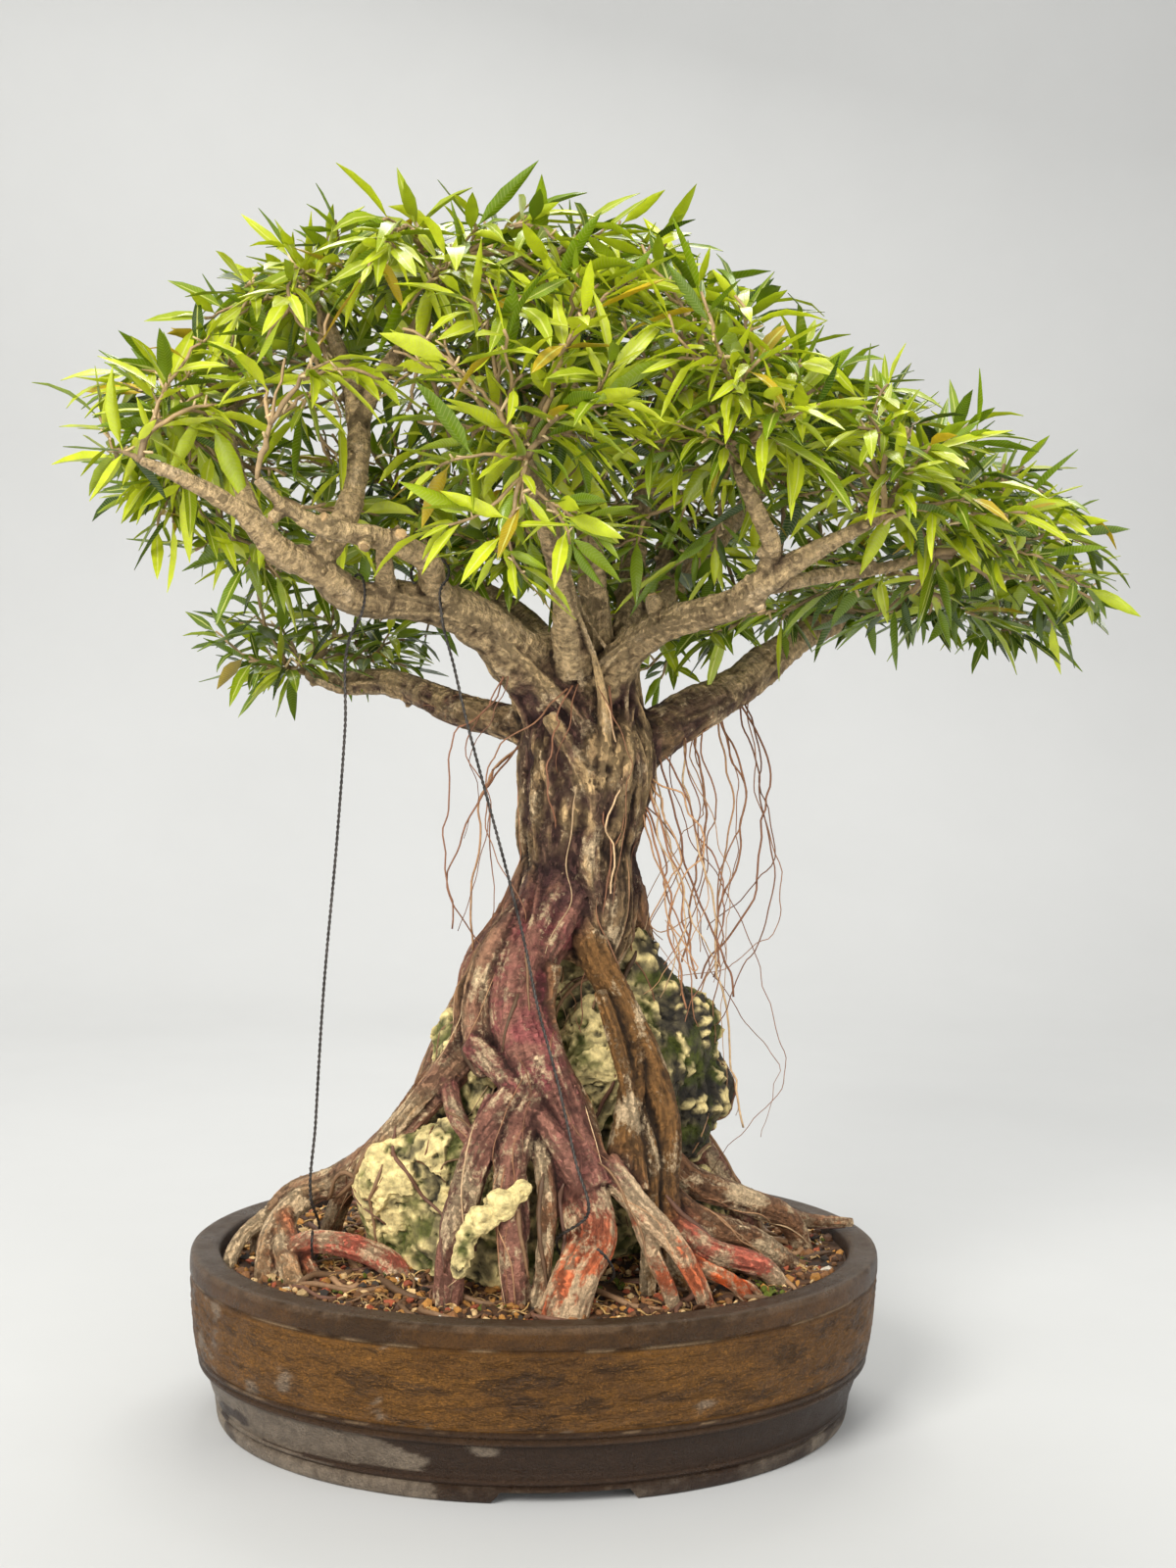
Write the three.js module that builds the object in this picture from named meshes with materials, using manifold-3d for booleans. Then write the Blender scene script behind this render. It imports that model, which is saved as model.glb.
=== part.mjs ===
// Willow leaf ficus bonsai grown over a limestone rock, in an oval unglazed pot.
// Millimetres, +Z up. The tree is drawn round the centre of the pot's foot, with the front at -Y,
// and the finished group is moved so that its origin lies under the middle of the whole object.

import * as THREE from 'three';
import { mergeVertices } from 'three/addons/utils/BufferGeometryUtils.js';
import Module from 'manifold-3d';

const wasm = await Module();
wasm.setup();

// Driving dimensions of the pot. An inset is measured inwards from the rim's outer edge.
const POT_HALF_LENGTH = 225;
const POT_HALF_DEPTH = 190;
const POT_HEIGHT = 109.4;
const POT_SEGMENTS = 32;
const RIM_WIDTH = 19;
const FOOT_INSET = 20.6;
const FOOT_WIDTH = 20;
const FOOT_HEIGHT = 8;
const FLOOR_TOP = 18;
const NOTCH_HALF_WIDTH = 47;
const NOTCH_TOP_HALF_WIDTH = 38;
const NOTCH_HEIGHT = 7.5;
const DRAIN_SPACING = 95;
const DRAIN_RADIUS = 13;
const SCREEN_SIDE = 42;
const SCREEN_THICKNESS = 1.2;
const SCREEN_BAR = 4;
const SCREEN_HOLES = 2;
const DRAIN_SIDES = 20;

// Soil: its height at the wall and how much it mounds up under the rock.
const SOIL_EDGE = 101;
const SOIL_MOUND = 9;
const SOIL_INSETS = [46, 100, 155];
const SOIL_RIPPLE = 0.8;
const SOIL_RIPPLE_SIZE = 14;

// Gap between neighbouring solids, and how far a cutter runs past what it cuts.
const CLEARANCE = 0.35;
const OVERCUT = 5;

// Outer and inner profile of the pot as [inset, height].
const POT_PROFILE = [
  [FOOT_INSET, 0],
  [17, 10],
  [13.2, 25],
  [8.4, 37],
  [6.2, 40],
  [4.6, 44],
  [2, 66],
  [0, 96],
  [1.4, POT_HEIGHT],
  [RIM_WIDTH, POT_HEIGHT],
  [RIM_WIDTH + 1, 100],
  [RIM_WIDTH + 5, 48],
  [RIM_WIDTH + 16, 24],
  [RIM_WIDTH + 34, FLOOR_TOP],
];

// Trunk as [x, y, z, radius]: a waisted column that flares into the limbs.
const TRUNK = [
  [14, -8, 296, 31],
  [24, -6, 322, 34],
  [25, -3, 345, 34],
  [22, 0, 372, 36],
  [25, 0, 400, 40],
  [26, 2, 428, 42],
  [23, 2, 452, 39],
  [20, -2, 474, 31],
  [20, -4, 492, 20],
];
const TRUNK_SIDES = 11;

// Flutes of the trunk as [number round it, depth, twist from foot to top].
const TRUNK_FLUTES = [[5, 0.06, 4], [8, 0.04, -3]];

// Limbs as [x, y, z, radius]. A limb with a spray carries a leafy spray at its end.
const LIMBS = [
  {
    spray: 'leafy_spray_left_tip',
    sides: 5,
    route: [[8, -5, 468, 27], [-19, -15, 490, 21], [-57, -35, 518, 16], [-93, -50, 524, 14],
      [-128, -62, 526, 13], [-148, -69, 541, 12], [-171, -78, 551, 10.5], [-193, -88, 572, 8.5],
      [-226, -98, 590, 6], [-252, -104, 600, 4]],
  },
  {
    spray: 'leafy_spray_left_back_high',
    sides: 4,
    route: [[-185, -84, 566, 6], [-196, -62, 592, 5.5], [-204, -30, 618, 5], [-206, 6, 640, 4.5],
      [-204, 30, 652, 3.5]],
  },
  {
    spray: 'leafy_spray_front_left_low',
    sides: 5,
    route: [[-62, -38, 518, 10], [-77, -55, 534, 9], [-83, -76, 547, 8.5], [-115, -98, 560, 8],
      [-147, -112, 564, 7], [-168, -124, 574, 4.5], [-184, -136, 588, 3.5]],
  },
  {
    spray: 'leafy_spray_left_crown',
    sides: 4,
    route: [[-150, -70, 545, 9], [-132, -64, 575, 8], [-126, -56, 604, 7.5], [-126, -47, 640, 7],
      [-140, -40, 684, 5], [-150, -38, 706, 3.5]],
  },
  {
    spray: 'leafy_spray_left_centre_crown',
    sides: 4,
    route: [[-126, -50, 630, 6], [-113, -50, 660, 5], [-93, -55, 688, 4.5], [-82, -58, 710, 3.5]],
  },
  {
    spray: 'leafy_spray_back_left_low',
    sides: 5,
    route: [[2, 12, 450, 17], [-21, 25, 449, 12], [-50, 48, 456, 11], [-74, 76, 466, 10],
      [-99, 104, 474, 9], [-135, 132, 474, 7], [-155, 148, 480, 4.5]],
  },
  {
    spray: 'leafy_spray_centre_crown',
    sides: 5,
    route: [[26, -5, 478, 14], [32, -12, 500, 10], [28, -20, 524, 9], [24, -28, 552, 8],
      [21, -20, 600, 7], [15, -2, 652, 6], [8, 8, 690, 4.5], [4, 12, 712, 3.5]],
  },
  {
    spray: 'leafy_spray_right_crown',
    sides: 4,
    route: [[46, 0, 490, 11], [53, 2, 520, 8.5], [57, 12, 550, 8], [62, 24, 580, 7],
      [74, 40, 626, 6], [86, 50, 664, 4.5], [94, 54, 686, 3.5]],
  },
  {
    spray: 'leafy_spray_upper_right',
    sides: 5,
    route: [[46, 5, 490, 13], [60, 4, 516, 8.5], [82, 20, 536, 8], [98, 35, 553, 7.5],
      [116, 50, 569, 7], [131, 60, 586, 6.5], [160, 76, 618, 5], [182, 84, 640, 3.5]],
  },
  {
    spray: 'leafy_spray_front_right',
    sides: 5,
    route: [[34, -14, 474, 17], [48, -28, 496, 11.5], [63, -45, 510, 10], [87, -65, 520, 9.5],
      [109, -85, 528, 9], [123, -96, 540, 8.5], [140, -106, 552, 6.5], [160, -118, 564, 5],
      [186, -130, 578, 3.5]],
  },
  {
    spray: 'leafy_spray_front_centre_right',
    sides: 4,
    route: [[123, -96, 542, 7], [124, -106, 560, 6], [112, -114, 582, 5], [98, -122, 606, 4],
      [92, -126, 618, 3.5]],
  },
  {
    spray: 'leafy_spray_right_middle',
    sides: 4,
    route: [[118, -92, 536, 6.5], [140, -90, 540, 5], [170, -80, 546, 4.5], [206, -70, 552, 4],
      [238, -62, 562, 3.5]],
  },
  {
    spray: 'leafy_spray_right_tip',
    sides: 5,
    route: [[30, 8, 424, 28], [61, 12, 436, 20], [91, 30, 452, 16], [124, 52, 468, 14],
      [150, 68, 484, 13], [175, 84, 502, 11.5], [202, 98, 518, 9.5], [230, 108, 528, 8],
      [272, 112, 538, 6], [302, 106, 546, 3.5]],
  },
  {
    spray: 'leafy_spray_back_right',
    sides: 4,
    route: [[192, 94, 512, 7], [206, 120, 532, 6], [214, 142, 556, 5], [222, 156, 576, 3.5]],
  },
  {
    spray: 'leafy_spray_back_left',
    sides: 5,
    route: [[18, 18, 464, 19], [10, 52, 492, 12], [-10, 95, 520, 10], [-40, 136, 545, 8],
      [-66, 160, 572, 5.5], [-80, 170, 592, 3.5]],
  },
  {
    spray: 'leafy_spray_back_centre',
    sides: 5,
    route: [[40, 18, 468, 17], [60, 56, 498, 11], [84, 98, 528, 9], [98, 132, 556, 7],
      [104, 156, 582, 5], [106, 166, 598, 3.5]],
  },
  {
    spray: 'leafy_spray_back_crown',
    sides: 4,
    route: [[26, 14, 490, 11], [14, 44, 540, 8], [2, 74, 600, 7], [-6, 96, 650, 5],
      [-10, 104, 676, 3.5]],
  },
  {
    spray: 'leafy_spray_front_centre',
    sides: 5,
    route: [[14, -22, 484, 13], [4, -52, 530, 8], [-10, -90, 566, 7], [-24, -126, 592, 5],
      [-30, -144, 604, 3.5]],
  },
  {
    spray: null,
    sides: 4,
    route: [[-106, -57, 526, 7], [-109, -74, 548, 6], [-110, -80, 560, 5.6]],
  },
];

// Roots as [x, y, z, radius]: they clasp the rock, run out over the soil and go down into it.
const ROOTS = [
  { sides: 6, route: [[12, -12, 345, 25], [-3, -32, 320, 21], [-17, -49, 295, 18.5],
    [-20, -61, 268, 18], [-12, -74, 242, 18], [2, -90, 206, 18], [16, -108, 166, 17],
    [20, -126, 142, 15], [8, -139, 124, 15.5], [-2, -146, 93, 16]] },
  { sides: 6, route: [[4, 0, 345, 22], [-14, -6, 318, 19], [-36, -14, 286, 17],
    [-41, -28, 260, 15], [-52, -39, 240, 12], [-75, -45, 214, 10], [-100, -42, 184, 9],
    [-130, -20, 156, 9], [-163, 0, 137, 8], [-178, 2, 112, 7], [-181, 0, 93, 6]] },
  { sides: 4, route: [[-42, -16, 268, 10], [-58, 2, 234, 8], [-77, 10, 204, 7.5],
    [-104, 20, 164, 7], [-128, 30, 130, 6.5], [-138, 36, 93, 6]] },
  { sides: 4, route: [[-50, -58, 250, 8], [-20, -92, 222, 8], [4, -112, 189, 8], [14, -118, 168, 7]] },
  { sides: 5, route: [[-18, -84, 228, 11], [-40, -98, 205, 10], [-57, -111, 165, 9],
    [-64, -117, 132, 8.5], [-67, -118, 93, 8]] },
  { sides: 5, route: [[-10, -88, 224, 11], [-25, -105, 200, 9.5], [-31, -117, 165, 8.5],
    [-28, -124, 130, 8], [-26, -126, 93, 7]] },
  { sides: 4, route: [[-64, -46, 228, 6], [-60, -64, 208, 5.5], [-46, -82, 186, 5]] },
  { sides: 5, route: [[20, -18, 340, 17], [30, -38, 302, 10.5], [46, -55, 270, 9.5],
    [62, -66, 234, 9.5], [71, -74, 200, 9.5], [68, -84, 162, 10], [72, -94, 128, 10],
    [84, -98, 93, 9]] },
  { sides: 4, route: [[54, -62, 250, 7], [47, -80, 212, 8], [36, -104, 166, 9]] },
  { sides: 4, route: [[28, -104, 184, 10], [50, -116, 158, 9], [70, -125, 138, 7.5],
    [80, -130, 118, 7], [85, -132, 93, 6]] },
  { sides: 4, route: [[64, -114, 142, 7], [84, -119, 126, 6], [108, -119, 110, 5], [119, -116, 93, 4]] },
  { sides: 4, route: [[68, -90, 146, 9], [96, -96, 126, 8], [130, -92, 114, 6.5], [152, -86, 93, 5]] },
  { sides: 4, route: [[60, -62, 192, 10], [84, -55, 165, 9.5], [130, -41, 143, 8.5],
    [164, -22, 125, 7.5], [182, -6, 93, 6]] },
  { sides: 4, route: [[68, -84, 160, 9], [90, -77, 142, 8.5], [130, -65, 125, 7.5], [170, -47, 93, 6]] },
  { sides: 4, route: [[132, -38, 140, 7], [168, -6, 123, 5.5], [194, 8, 115.5, 4], [217, 11, 114, 3]] },
  { sides: 4, route: [[-150, -4, 144, 8], [-170, -24, 126, 7], [-176, -46, 108, 6.5],
    [-177, -58, 93, 6]] },
  { sides: 4, route: [[-164, -14, 132, 7], [-164, -46, 118, 6.5], [-152, -90, 93, 5]] },
  { sides: 4, route: [[-82, -66, 93, 8], [-96, -65, 112, 9], [-126, -54, 126, 8],
    [-158, -49, 125, 7], [-170, -54, 93, 6]] },
  { sides: 5, route: [[28, 14, 345, 25], [22, 46, 300, 19], [10, 70, 252, 17], [-4, 86, 200, 16],
    [-14, 106, 140, 15], [-22, 118, 93, 13]] },
  { sides: 4, route: [[44, 6, 345, 21], [70, 44, 294, 12], [98, 70, 236, 10.5], [110, 76, 170, 10],
    [124, 84, 124, 10], [130, 90, 93, 9]] },
  { sides: 4, route: [[8, 12, 345, 21], [-24, 36, 292, 14], [-52, 54, 238, 12], [-76, 68, 168, 11],
    [-98, 82, 118, 10], [-106, 88, 93, 9]] },
  { sides: 4, route: [[106, 72, 190, 10], [112, 42, 162, 11], [130, 29, 138, 10], [158, 28, 93, 8]] },
  { sides: 4, route: [[-2, 84, 200, 9], [34, 108, 154, 8], [54, 124, 120, 7.5], [60, 128, 93, 6]] },
  { sides: 6, route: [[-3, -18, 328, 17], [-28, -36, 304, 15.5], [-41, -45, 280, 13.5],
    [-43, -52, 256, 12], [-38, -58, 230, 9]] },
  { sides: 5, route: [[-36, -26, 291, 9], [-48, -34, 278, 10], [-50, -38, 258, 9.5],
    [-60, -42, 236, 7.5], [-74, -40, 217, 7.5]] },
];

// Aerial roots as [x, y, z]: thin strands that hang from the trunk and the limbs.
const AERIAL_RADIUS = 1.1;
const AERIAL_ROOTS = [
  [[70, 4, 440], [80, -6, 396], [98, -10, 340], [120, -8, 268]],
  [[90, 20, 452], [104, 2, 392], [122, 2, 300], [130, 2, 240], [128, 2, 186]],
  [[64, -6, 420], [76, -16, 374], [88, -18, 320], [102, -16, 284]],
  [[124, 46, 462], [134, 26, 390], [128, 14, 330], [112, 4, 284]],
  [[140, 58, 472], [158, 42, 410], [148, 26, 348], [106, 4, 286]],
  [[60, -12, 404], [74, -22, 342], [84, -24, 300], [98, -20, 262]],
  [[104, 34, 452], [112, 20, 392], [102, 6, 334], [88, -14, 296]],
  [[-24, -26, 488], [-56, -28, 444], [-62, -26, 390], [-58, -22, 320]],
  [[-14, 8, 436], [-42, -10, 408], [-50, -16, 352], [-46, -18, 308]],
  [[12, -40, 474], [-7, -47, 438], [4, -36, 366]],
  [[30, -38, 474], [48, -44, 424], [34, -38, 366], [28, -38, 318]],
];

// Rock: overlapping lumps as [x, y, z, half width, half depth, half height, fineness], and its underside.
const ROCK_LUMPS = [
  [38, 14, 226, 62, 50, 88, 3],
  [88, 22, 214, 46, 42, 56, 2],
  [46, 16, 286, 33, 30, 38, 2],
  [-66, -34, 146, 46, 46, 62, 3],
  [-26, -62, 126, 48, 40, 52, 2],
  [24, 4, 122, 92, 68, 58, 2],
  [-34, -16, 212, 38, 34, 62, 2],
];
const ROCK_UNDERSIDE = 86;
const ROCK_RELIEF = 0.085;

// Guy wires of twisted steel, each from a hook round a limb to a hook round a surface root.
const WIRE_RADIUS = 1.1;
const HOOK_SLACK = 1.2;
const HOOK_STEPS = 8;
const HOOK_TURN = 0.72;
const WIRES = [
  {
    name: 'guy_wire_left',
    top: { centre: [-125, -61, 525.5], along: [1, 0.35, -0.05], radius: 15.4 },
    route: [[-129, -61, 500], [-131, -60, 446], [-135, -58, 377], [-142, -55, 283],
      [-146, -52, 198], [-148, -52, 150]],
    foot: { centre: [-145, -51, 125.3], along: [1, -0.2, 0], radius: 9.8 },
  },
  {
    name: 'guy_wire_right',
    top: { centre: [-80.5, -65.5, 541], along: [0.2, 0.84, -0.5], radius: 10.1 },
    route: [[-74, -80, 516], [-66, -81, 484], [-59, -84, 455], [-44, -91, 400], [-33, -97, 360],
      [-23, -103, 321], [-14, -109, 279], [-4, -117, 242], [8, -129, 190], [14, -143, 163]],
    foot: { centre: [14, -133, 133], along: [0.7, 0.65, 0.7], radius: 17.6 },
  },
];

// Crown: heights of its upper edge across the width as [x, z], of its lower edge at the back and at
// the front, where it is pruned higher, and its depth.
const CROWN_TOP = [[-305, 620], [-280, 690], [-240, 722], [-190, 756], [-135, 774], [-20, 786],
  [50, 780], [100, 764], [180, 720], [240, 676], [300, 640], [345, 605], [378, 560]];
const CROWN_UNDER = [[-305, 600], [-280, 540], [-230, 520], [-150, 536], [0, 560], [100, 548],
  [185, 508], [290, 500], [345, 502], [378, 540]];
const CROWN_FRONT_UNDER = [[-305, 605], [-280, 580], [-230, 588], [-110, 606], [-70, 566], [0, 560],
  [60, 596], [180, 580], [240, 536], [345, 508], [378, 540]];
const CROWN_FRONT = [20, -80];
const CROWN_MIDDLE = 0.3;
const CROWN_HALF_DEPTH = 238;
const CROWN_MID_X = 30;
const CROWN_HALF_WIDTH = 348;
const CROWN_SHELL = [0.6, 0.86];
const CROWN_SIDES = 0.8;
const CROWN_SPAN = { x: [-300, 372], z: [455, 785] };
const LOW_PAD = { centre: [-165, 162, 496], reach: [78, 44, 26] };

// Shoots and leaves: blades at their true size, four to a shoot, and how often one is drawn again.
const SHOOT_SPACING = 73;
const SHOOT_TRIES = 30000;
const LEAVES_A_SHOOT = 4;
const LEAST_OVERLAP = 1e-4;
const REDRAWS = 7;
const SEED = 9026;
const LEAF_LENGTH = [44, 60];
const LEAF_WIDTH = [9, 12];
const LEAF_KEEL = 1.9;
const LEAF_STATIONS = [[0.34, 1], [0.7, 0.74]];
const LEAF_SPREAD = [0.7, 1.1];
const TIP_SPREAD = [0, 0.2];
const LEAF_DROOP = [0.05, 0.35];
const LEAF_ROLL = [-0.8, 0.8];
const LEAF_PITCH = 7;
const GOLDEN_ANGLE = 2.4;

// Twigs: their thickness, and what a longer way, a sharp bend or a fork at a leafy end counts as in mm.
const TWIG_RADIUS = 1.1;
const TWIG_THICKENING = 0.4;
const FORK_THINNING = 0.5;
const SHORTEST_TWIG = 12;
const ELBOW_LIFT = 0.16;
const PATH_COST = 0.55;
const BEND_COST = 26;
const LEAFY_COST = 60;

// Colours of the dry stoneware, grit, stone, bark, wire and leaves.
const FINISHES = {
  stoneware: { color: 0x57402f, roughness: 0.72, metalness: 0 },
  screen: { color: 0x23262a, roughness: 0.6, metalness: 0 },
  soil: { color: 0x4b3526, roughness: 0.98, metalness: 0 },
  rock: { color: 0xa89a77, roughness: 0.95, metalness: 0 },
  bark: { color: 0x7b6049, roughness: 0.88, metalness: 0 },
  wire: { color: 0x2b2d30, roughness: 0.5, metalness: 0.4 },
  leaf: { color: 0x5f8f24, roughness: 0.42, metalness: 0 },
};

// Repeatable random numbers from 0 to 1.
function randomFrom(seed) {
  let state = seed;
  return () => {
    state = (Math.imul(state, 1664525) + 1013904223) >>> 0;
    return state / 4294967296;
  };
}

const vector = ([x, y, z]) => new THREE.Vector3(x, y, z);

function solidFrom(points, triangles) {
  const vertProperties = new Float32Array(points.flatMap((p) => [p.x, p.y, p.z]));
  const triVerts = new Uint32Array(triangles.flat());
  return new wasm.Manifold(new wasm.Mesh({ numProp: 3, vertProperties, triVerts }));
}

function solidFromGeometry(geometry) {
  const bare = geometry.clone();
  bare.deleteAttribute('normal');
  bare.deleteAttribute('uv');
  const merged = mergeVertices(bare, 1e-4);
  const triVerts = new Uint32Array(merged.index.array);
  const vertProperties = new Float32Array(merged.attributes.position.array);
  return new wasm.Manifold(new wasm.Mesh({ numProp: 3, vertProperties, triVerts }));
}

function geometryFrom(solid) {
  const mesh = solid.getMesh();
  const geometry = new THREE.BufferGeometry();
  geometry.setAttribute('position', new THREE.BufferAttribute(mesh.vertProperties, 3));
  geometry.setIndex(new THREE.BufferAttribute(mesh.triVerts, 1));
  geometry.computeVertexNormals();
  return geometry;
}

// The largest body of a solid: scraps that a cut leaves loose are dropped.
function largestBody(solid) {
  const bodies = solid.decompose();
  return bodies.reduce((best, body) => (body.volume() > best.volume() ? body : best));
}

// A closed skin over rings of equal count, each counter-clockwise as seen from the last ring.
function loft(rings) {
  const sides = rings[0].length;
  const points = rings.flat();
  const triangles = [];
  for (let i = 0; i + 1 < rings.length; i += 1) {
    for (let j = 0; j < sides; j += 1) {
      const a = i * sides + j;
      const b = i * sides + ((j + 1) % sides);
      triangles.push([a, b, b + sides], [a, b + sides, a + sides]);
    }
  }
  const last = (rings.length - 1) * sides;
  for (let j = 1; j + 1 < sides; j += 1) {
    triangles.push([0, j + 1, j], [last, last + j, last + j + 1]);
  }
  return solidFrom(points, triangles);
}

// A tube along a route of [x, y, z, radius], grown all round and at both ends where asked. Its section
// has the area of a circle of that radius.
function tube(route, { sides, grow = 0, flute = () => 1 }) {
  const curve = new THREE.CatmullRomCurve3(route.map(vector), false, 'centripetal');
  const spans = route.length - 1;
  const corner = (2 * Math.PI) / sides;
  const swell = Math.sqrt(corner / Math.sin(corner));
  const across = new THREE.Vector3();
  const rings = [];
  for (let i = 0; i <= spans; i += 1) {
    const t = i / spans;
    const radius = route[i][3];
    const along = curve.getTangent(t);
    if (i === 0) across.set(along.z, along.x, along.y);
    across.addScaledVector(along, -across.dot(along)).normalize();
    const beside = along.clone().cross(across);
    const shift = (i === spans ? grow : 0) - (i === 0 ? grow : 0);
    const centre = vector(route[i]).addScaledVector(along, shift);
    rings.push(Array.from({ length: sides }, (_, j) => {
      const angle = corner * j;
      const reach = swell * radius * flute(angle, t) + grow / Math.cos(corner / 2);
      return centre.clone().addScaledVector(across, reach * Math.cos(angle))
        .addScaledVector(beside, reach * Math.sin(angle));
    }));
  }
  return loft(rings);
}

// An oval ring of the pot or the soil, at an inset from the rim's outer edge.
function oval(inset, height) {
  return Array.from({ length: POT_SEGMENTS }, (_, j) => {
    const angle = (2 * Math.PI * j) / POT_SEGMENTS;
    const x = (POT_HALF_LENGTH - inset) * Math.cos(angle);
    const y = (POT_HALF_DEPTH - inset) * Math.sin(angle);
    return new THREE.Vector3(x, y, height);
  });
}

function box(width, depth, height, x, y, z) {
  return solidFromGeometry(new THREE.BoxGeometry(width, depth, height).translate(x, y, z));
}

function upright(radius, height, x, z) {
  const geometry = new THREE.CylinderGeometry(radius, radius, height, DRAIN_SIDES);
  return solidFromGeometry(geometry.rotateX(Math.PI / 2).translate(x, 0, z));
}

function buildPot() {
  const inner = POT_PROFILE.length - 5;
  const outside = POT_PROFILE.slice(0, inner + 1).map(([inset, height]) => oval(inset, height));
  const hollow = POT_PROFILE.slice(inner).map(([inset, height]) => oval(inset, height)).reverse();
  hollow.push(oval(RIM_WIDTH, POT_HEIGHT + OVERCUT));
  let pot = loft(outside).subtract(loft(hollow));
  const inset = FOOT_INSET + FOOT_WIDTH;
  pot = pot.subtract(loft([oval(inset, -OVERCUT), oval(inset, FOOT_HEIGHT)]));
  const notch = new THREE.Shape([
    new THREE.Vector2(-NOTCH_HALF_WIDTH, -OVERCUT),
    new THREE.Vector2(NOTCH_HALF_WIDTH, -OVERCUT),
    new THREE.Vector2(NOTCH_TOP_HALF_WIDTH, NOTCH_HEIGHT),
    new THREE.Vector2(-NOTCH_TOP_HALF_WIDTH, NOTCH_HEIGHT),
  ]);
  const depth = 3 * POT_HALF_DEPTH;
  const through = new THREE.ExtrudeGeometry(notch, { depth, bevelEnabled: false });
  pot = pot.subtract(solidFromGeometry(through.rotateX(Math.PI / 2).translate(0, depth / 2, 0)));
  for (const side of [-1, 1]) {
    pot = pot.subtract(upright(DRAIN_RADIUS, 2 * FLOOR_TOP, side * DRAIN_SPACING, FLOOR_TOP / 2));
  }
  return pot;
}

// A plastic mesh square that keeps the grit from falling through a drain hole.
function buildScreen(side) {
  const x = side * DRAIN_SPACING;
  const z = FLOOR_TOP + CLEARANCE + SCREEN_THICKNESS / 2;
  const pitch = (SCREEN_SIDE - SCREEN_BAR) / SCREEN_HOLES;
  let screen = box(SCREEN_SIDE, SCREEN_SIDE, SCREEN_THICKNESS, x, 0, z);
  for (let i = 0; i < SCREEN_HOLES; i += 1) {
    for (let j = 0; j < SCREEN_HOLES; j += 1) {
      const shift = (k) => (k - (SCREEN_HOLES - 1) / 2) * pitch;
      const hole = pitch - SCREEN_BAR;
      screen = screen.subtract(box(hole, hole, OVERCUT, x + shift(i), shift(j), z));
    }
  }
  return screen;
}

// A slow swell of three crossed waves, for the soil and the rock.
function ripple(x, y, z) {
  return Math.sin(x * 0.9 + 1.3 * Math.sin(y * 0.7)) + Math.sin(y * 1.1 + 1.7 * Math.sin(z * 0.6))
    + Math.sin(z * 1.3 + 1.1 * Math.sin(x * 0.8));
}

// Grit that fills the pot to just under the rim and mounds up towards the rock.
function buildSoil() {
  const rings = [];
  const walls = POT_PROFILE.slice(-4).reverse();
  for (const [inset, height] of walls) {
    rings.push(oval(inset + CLEARANCE, Math.max(height, FLOOR_TOP + CLEARANCE)));
  }
  rings[rings.length - 1].forEach((point) => point.setZ(SOIL_EDGE));
  for (const inset of SOIL_INSETS) {
    const ring = oval(inset, SOIL_EDGE);
    ring.forEach((point) => {
      const reach = (inset - RIM_WIDTH) / (POT_HALF_DEPTH - RIM_WIDTH);
      const rise = SOIL_MOUND * Math.sin((Math.PI / 2) * reach);
      const swell = ripple(point.x / SOIL_RIPPLE_SIZE, point.y / SOIL_RIPPLE_SIZE, 3);
      point.z += rise + SOIL_RIPPLE * swell;
    });
    rings.push(ring);
  }
  let soil = loft(rings);
  for (const side of [-1, 1]) {
    const room = SCREEN_SIDE + 2 * CLEARANCE;
    const height = 2 * (SCREEN_THICKNESS + 2 * CLEARANCE);
    soil = soil.subtract(box(room, room, height, side * DRAIN_SPACING, 0, FLOOR_TOP));
  }
  return soil;
}

// Limestone boulder of knobbed lumps, its underside sunk in the soil.
function buildRock(grow = 0) {
  const lumps = ROCK_LUMPS.map(([x, y, z, width, depth, height, fineness], k) => {
    const geometry = new THREE.IcosahedronGeometry(1, fineness);
    const bare = new THREE.BufferGeometry().setAttribute('position', geometry.attributes.position);
    const merged = mergeVertices(bare, 1e-4);
    const position = merged.attributes.position;
    for (let i = 0; i < position.count; i += 1) {
      const p = new THREE.Vector3().fromBufferAttribute(position, i);
      const knob = 1 + ROCK_RELIEF * ripple(4 * p.x + 2 * k, 4 * p.y - k, 4 * p.z + 3 * k);
      position.setXYZ(i, x + p.x * (width * knob + grow), y + p.y * (depth * knob + grow),
        z + p.z * (height * knob + grow));
    }
    return solidFromGeometry(merged);
  });
  const rock = wasm.Manifold.union(lumps);
  const side = 3 * POT_HALF_LENGTH;
  const depth = 2 * ROCK_UNDERSIDE;
  return rock.subtract(box(side, side, depth, 0, 0, ROCK_UNDERSIDE - depth / 2 - grow));
}

function trunkFlutes(angle, t) {
  const swell = ([count, depth, twist]) => depth * Math.cos(count * angle + twist * t);
  return 1 + TRUNK_FLUTES.reduce((sum, flute) => sum + swell(flute), 0);
}

function buildWood(grow = 0) {
  const pieces = [tube(TRUNK, { sides: TRUNK_SIDES, grow, flute: trunkFlutes })];
  for (const { route, sides } of LIMBS) {
    pieces.push(tube(route, { sides, grow }));
  }
  for (const { route, sides } of ROOTS) {
    pieces.push(tube(route, { sides, grow }));
  }
  for (const strand of AERIAL_ROOTS) {
    const route = strand.map(([x, y, z]) => [x, y, z, AERIAL_RADIUS]);
    pieces.push(tube(route, { sides: 3, grow }));
  }
  return wasm.Manifold.union(pieces);
}

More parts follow.
